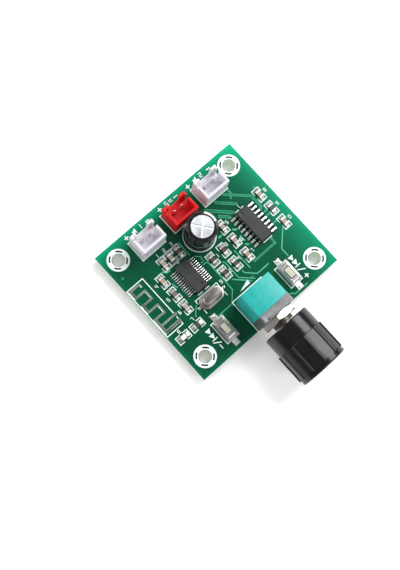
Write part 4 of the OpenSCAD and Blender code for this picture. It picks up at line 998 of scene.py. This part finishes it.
turned_metal, wires, surface = finish_of("turned_aluminium", Metallic=1.0)
tool_lines = wires.add("ShaderNodeTexWave", {"Vector": wires.here(), "Scale": 4000.0, "Distortion": 0.6},
                       bands_direction="Y").outputs["Fac"]
wires.feed(surface["Base Color"], mottled(wires, (0.80, 0.80, 0.80), (0.68, 0.68, 0.67), 1.2, 0.7))
wires.feed(surface["Roughness"], wires.math("ADD", wires.times(tool_lines, 0.1), 0.24))
wires.feed(surface["Normal"], wires.bump(tool_lines, 0.4, 0.01))
softened("volume_shaft", "turned_shaft", turned_metal, "shaft_aluminium", 0.08, body="volume_spindle")

# Knob: moulded in black plastic with a satin skin, pushed onto the flatted shaft. A plain collar,
# flat panels between thin ridges, a groove and a slightly domed cap, with a dot to point with.
knob_back, knob_len, collar = 3.1, 14.5, 5.2
knob_tip, knob_core, panel_r, neck, neck_top, cap_r, groove_r = 7.07, 6.82, 6.79, 6.6, 6.46, 6.74, 6.52
ridges, ridge_turn, pointer_turn, ridge_half = 11, math.radians(92.2), math.radians(86.5), 0.30
ridge_end, cap_round = knob_len - 1.6, 0.42
ridge_pitch = math.tau / ridges


def knob_radius(angle, z):
    """The knob's radius at an angle, z in front of its back."""
    off = (angle - ridge_turn + ridge_pitch / 2) % ridge_pitch - ridge_pitch / 2
    if z <= collar - 0.14:
        return neck - 0.3 * (max(0.0, 0.4 - z) / 0.4) ** 2.2
    if z < collar:
        return neck_top
    level = panel_r * math.cos(ridge_pitch / 2) / math.cos(ridge_pitch / 2 - abs(off))
    panel = 0.45 * level + 0.55 * panel_r
    if z < collar + 0.2:
        panel -= 0.2 * (1 - math.sqrt(1 - (1 - (z - collar) / 0.2) ** 2))
    bump = math.sqrt(max(0.0, 1 - (abs(off) * knob_core / ridge_half) ** 2))
    rise = max(0.0, min(1.0, (z - collar - 0.02) / 0.08, (ridge_end + 0.3 - z) / 0.12))
    ridge = knob_core + (knob_tip - knob_core) * bump * rise
    if z > knob_len - cap_round:
        t = (z - (knob_len - cap_round)) / cap_round
        return cap_r - cap_round * (1 - math.sqrt(max(0.0, 1 - t * t)))
    if z > ridge_end + 0.8:
        return cap_r
    if z > ridge_end + 0.5:
        return groove_r
    between_ridges = knob_core if z > ridge_end else panel
    return max(between_ridges, ridge) if bump > 0 else between_ridges


levels = [0.0, 0.04, 0.1, 0.2, 0.32, 0.42, 1.5, 3.0, 4.3]
levels += [collar + d for d in (-0.3, -0.18, -0.14, -0.11, -0.06, -0.01, 0.0, 0.01, 0.03, 0.06, 0.1, 0.15,
                                0.2, 0.3)]
levels += [collar + 0.3 + 0.46 * k for k in range(1, 16)]
levels += [ridge_end + d for d in (-0.35, -0.1, -0.01, 0.01, 0.1, 0.18, 0.24, 0.3, 0.4, 0.49, 0.51, 0.6,
                                   0.78, 0.81, 0.9)]
levels += [knob_len - d for d in (cap_round, 0.35, 0.27, 0.19, 0.12, 0.06, 0.02, 0.0)]
half_ridge = [0.09, 0.17, 0.23, 0.27, 0.295, 0.31, 0.42]
across_ridge = [-d for d in reversed(half_ridge)] + [0.0] + half_ridge
angles = []
for k in range(ridges):
    middle = ridge_turn + k * ridge_pitch
    angles += [middle + d / knob_core for d in across_ridge]
    angles += [middle + ridge_pitch * t for t in (0.16, 0.24, 0.32, 0.4, 0.5, 0.6, 0.68, 0.76, 0.84)]
CAP = [(6.0, 0.0), (5.4, 0.0), (5.3, -0.05), (5.1, -0.07), (4.0, -0.07), (2.5, -0.07), (1.2, -0.07)]
HOLLOW = [(6.0, 0.0), (5.72, 0.0), (5.6, 0.1), (5.55, 3.9), (5.4, 4.0), (3.5, 4.0), (3.4, 3.9), (3.4, 0.1),
          (3.3, 0.0), (2.1, 0.0), (2.02, 0.08), (2.02, 0.9)]
knob_shape = bmesh.new()
skirt = shaft_rings(knob_shape, angles, [round(z, 4) for z in levels], knob_radius, knob_back)
cap_rings = [points(knob_shape, [on_shaft(radius, a, knob_back + knob_len + lift) for a in angles])
             for radius, lift in CAP]
back_rings = [points(knob_shape, [on_shaft(radius, a, knob_back + depth) for a in angles])
              for radius, depth in HOLLOW]
skinned(knob_shape, back_rings[::-1] + skirt + cap_rings)
satin_black = dappled("satin_black", (0.004, 0.004, 0.005), (0.009, 0.009, 0.011), 3.0, 0.8, rough=0.20,
                      grain=(0.12, 0.7, 0.10, 0.005), Specular_IOR_Level=0.4)
piece("ribbed_knob", knob_shape, [satin_black], "volume_spindle", "knob_plastic", "volume_knob", smooth=32)

dot_at = knob_back + collar - 0.9
dot_shape = bmesh.new()
rings = [points(dot_shape, [on_shaft(neck + lift, pointer_turn + radius * math.cos(a) / neck,
                                     dot_at + radius * math.sin(a)) for a in around(24)])
         for radius, lift in ((0.46, -0.12), (0.44, 0.0), (0.40, 0.07), (0.30, 0.12), (0.15, 0.145))]
skinned(dot_shape, rings)
piece("knob_dot", dot_shape, [satin_black], "volume_spindle", "knob_plastic", smooth=40)


# Chip parts: fired ceramic bodies for the capacitors, a grey ferrite, glazed black resistors and
# a light-emitting diode in clear resin. Tinned end caps wrap each end.
def fired(name, base, second, rough):
    return dappled(name, base, second, 0.5, 0.8, rough=rough, grain=(0.05, 0.8, 0.2, 0.01))


tan = fired("ceramic_tan", (0.43, 0.34, 0.265), (0.34, 0.26, 0.20), 0.4)
brown = fired("ceramic_brown", (0.15, 0.09, 0.06), (0.10, 0.06, 0.04), 0.4)
ferrite = fired("ferrite_grey", (0.17, 0.16, 0.15), (0.11, 0.105, 0.10), 0.5)
glaze = fired("resistor_glaze", (0.085, 0.066, 0.058), (0.055, 0.043, 0.04), 0.35)
resin = fired("led_resin", (0.88, 0.88, 0.84), (0.82, 0.81, 0.72), 0.25)
odd_ones = {"row_capacitor_right": (brown, "ceramic_brown"), "edge_inductor": (ferrite, "ferrite_grey")}
for node in CERAMICS:
    softened(node, node + "_body", *odd_ones.get(node, (tan, "ceramic_tan")), 0.07)
for node in FILMS:
    softened(node, node + "_body", glaze, "resistor_black", 0.04)
softened("status_led", "status_led_body", resin, "led_resin", 0.05)
softened("chip_terminations", "end_caps", tinned, "tinned_pin", 0.05)
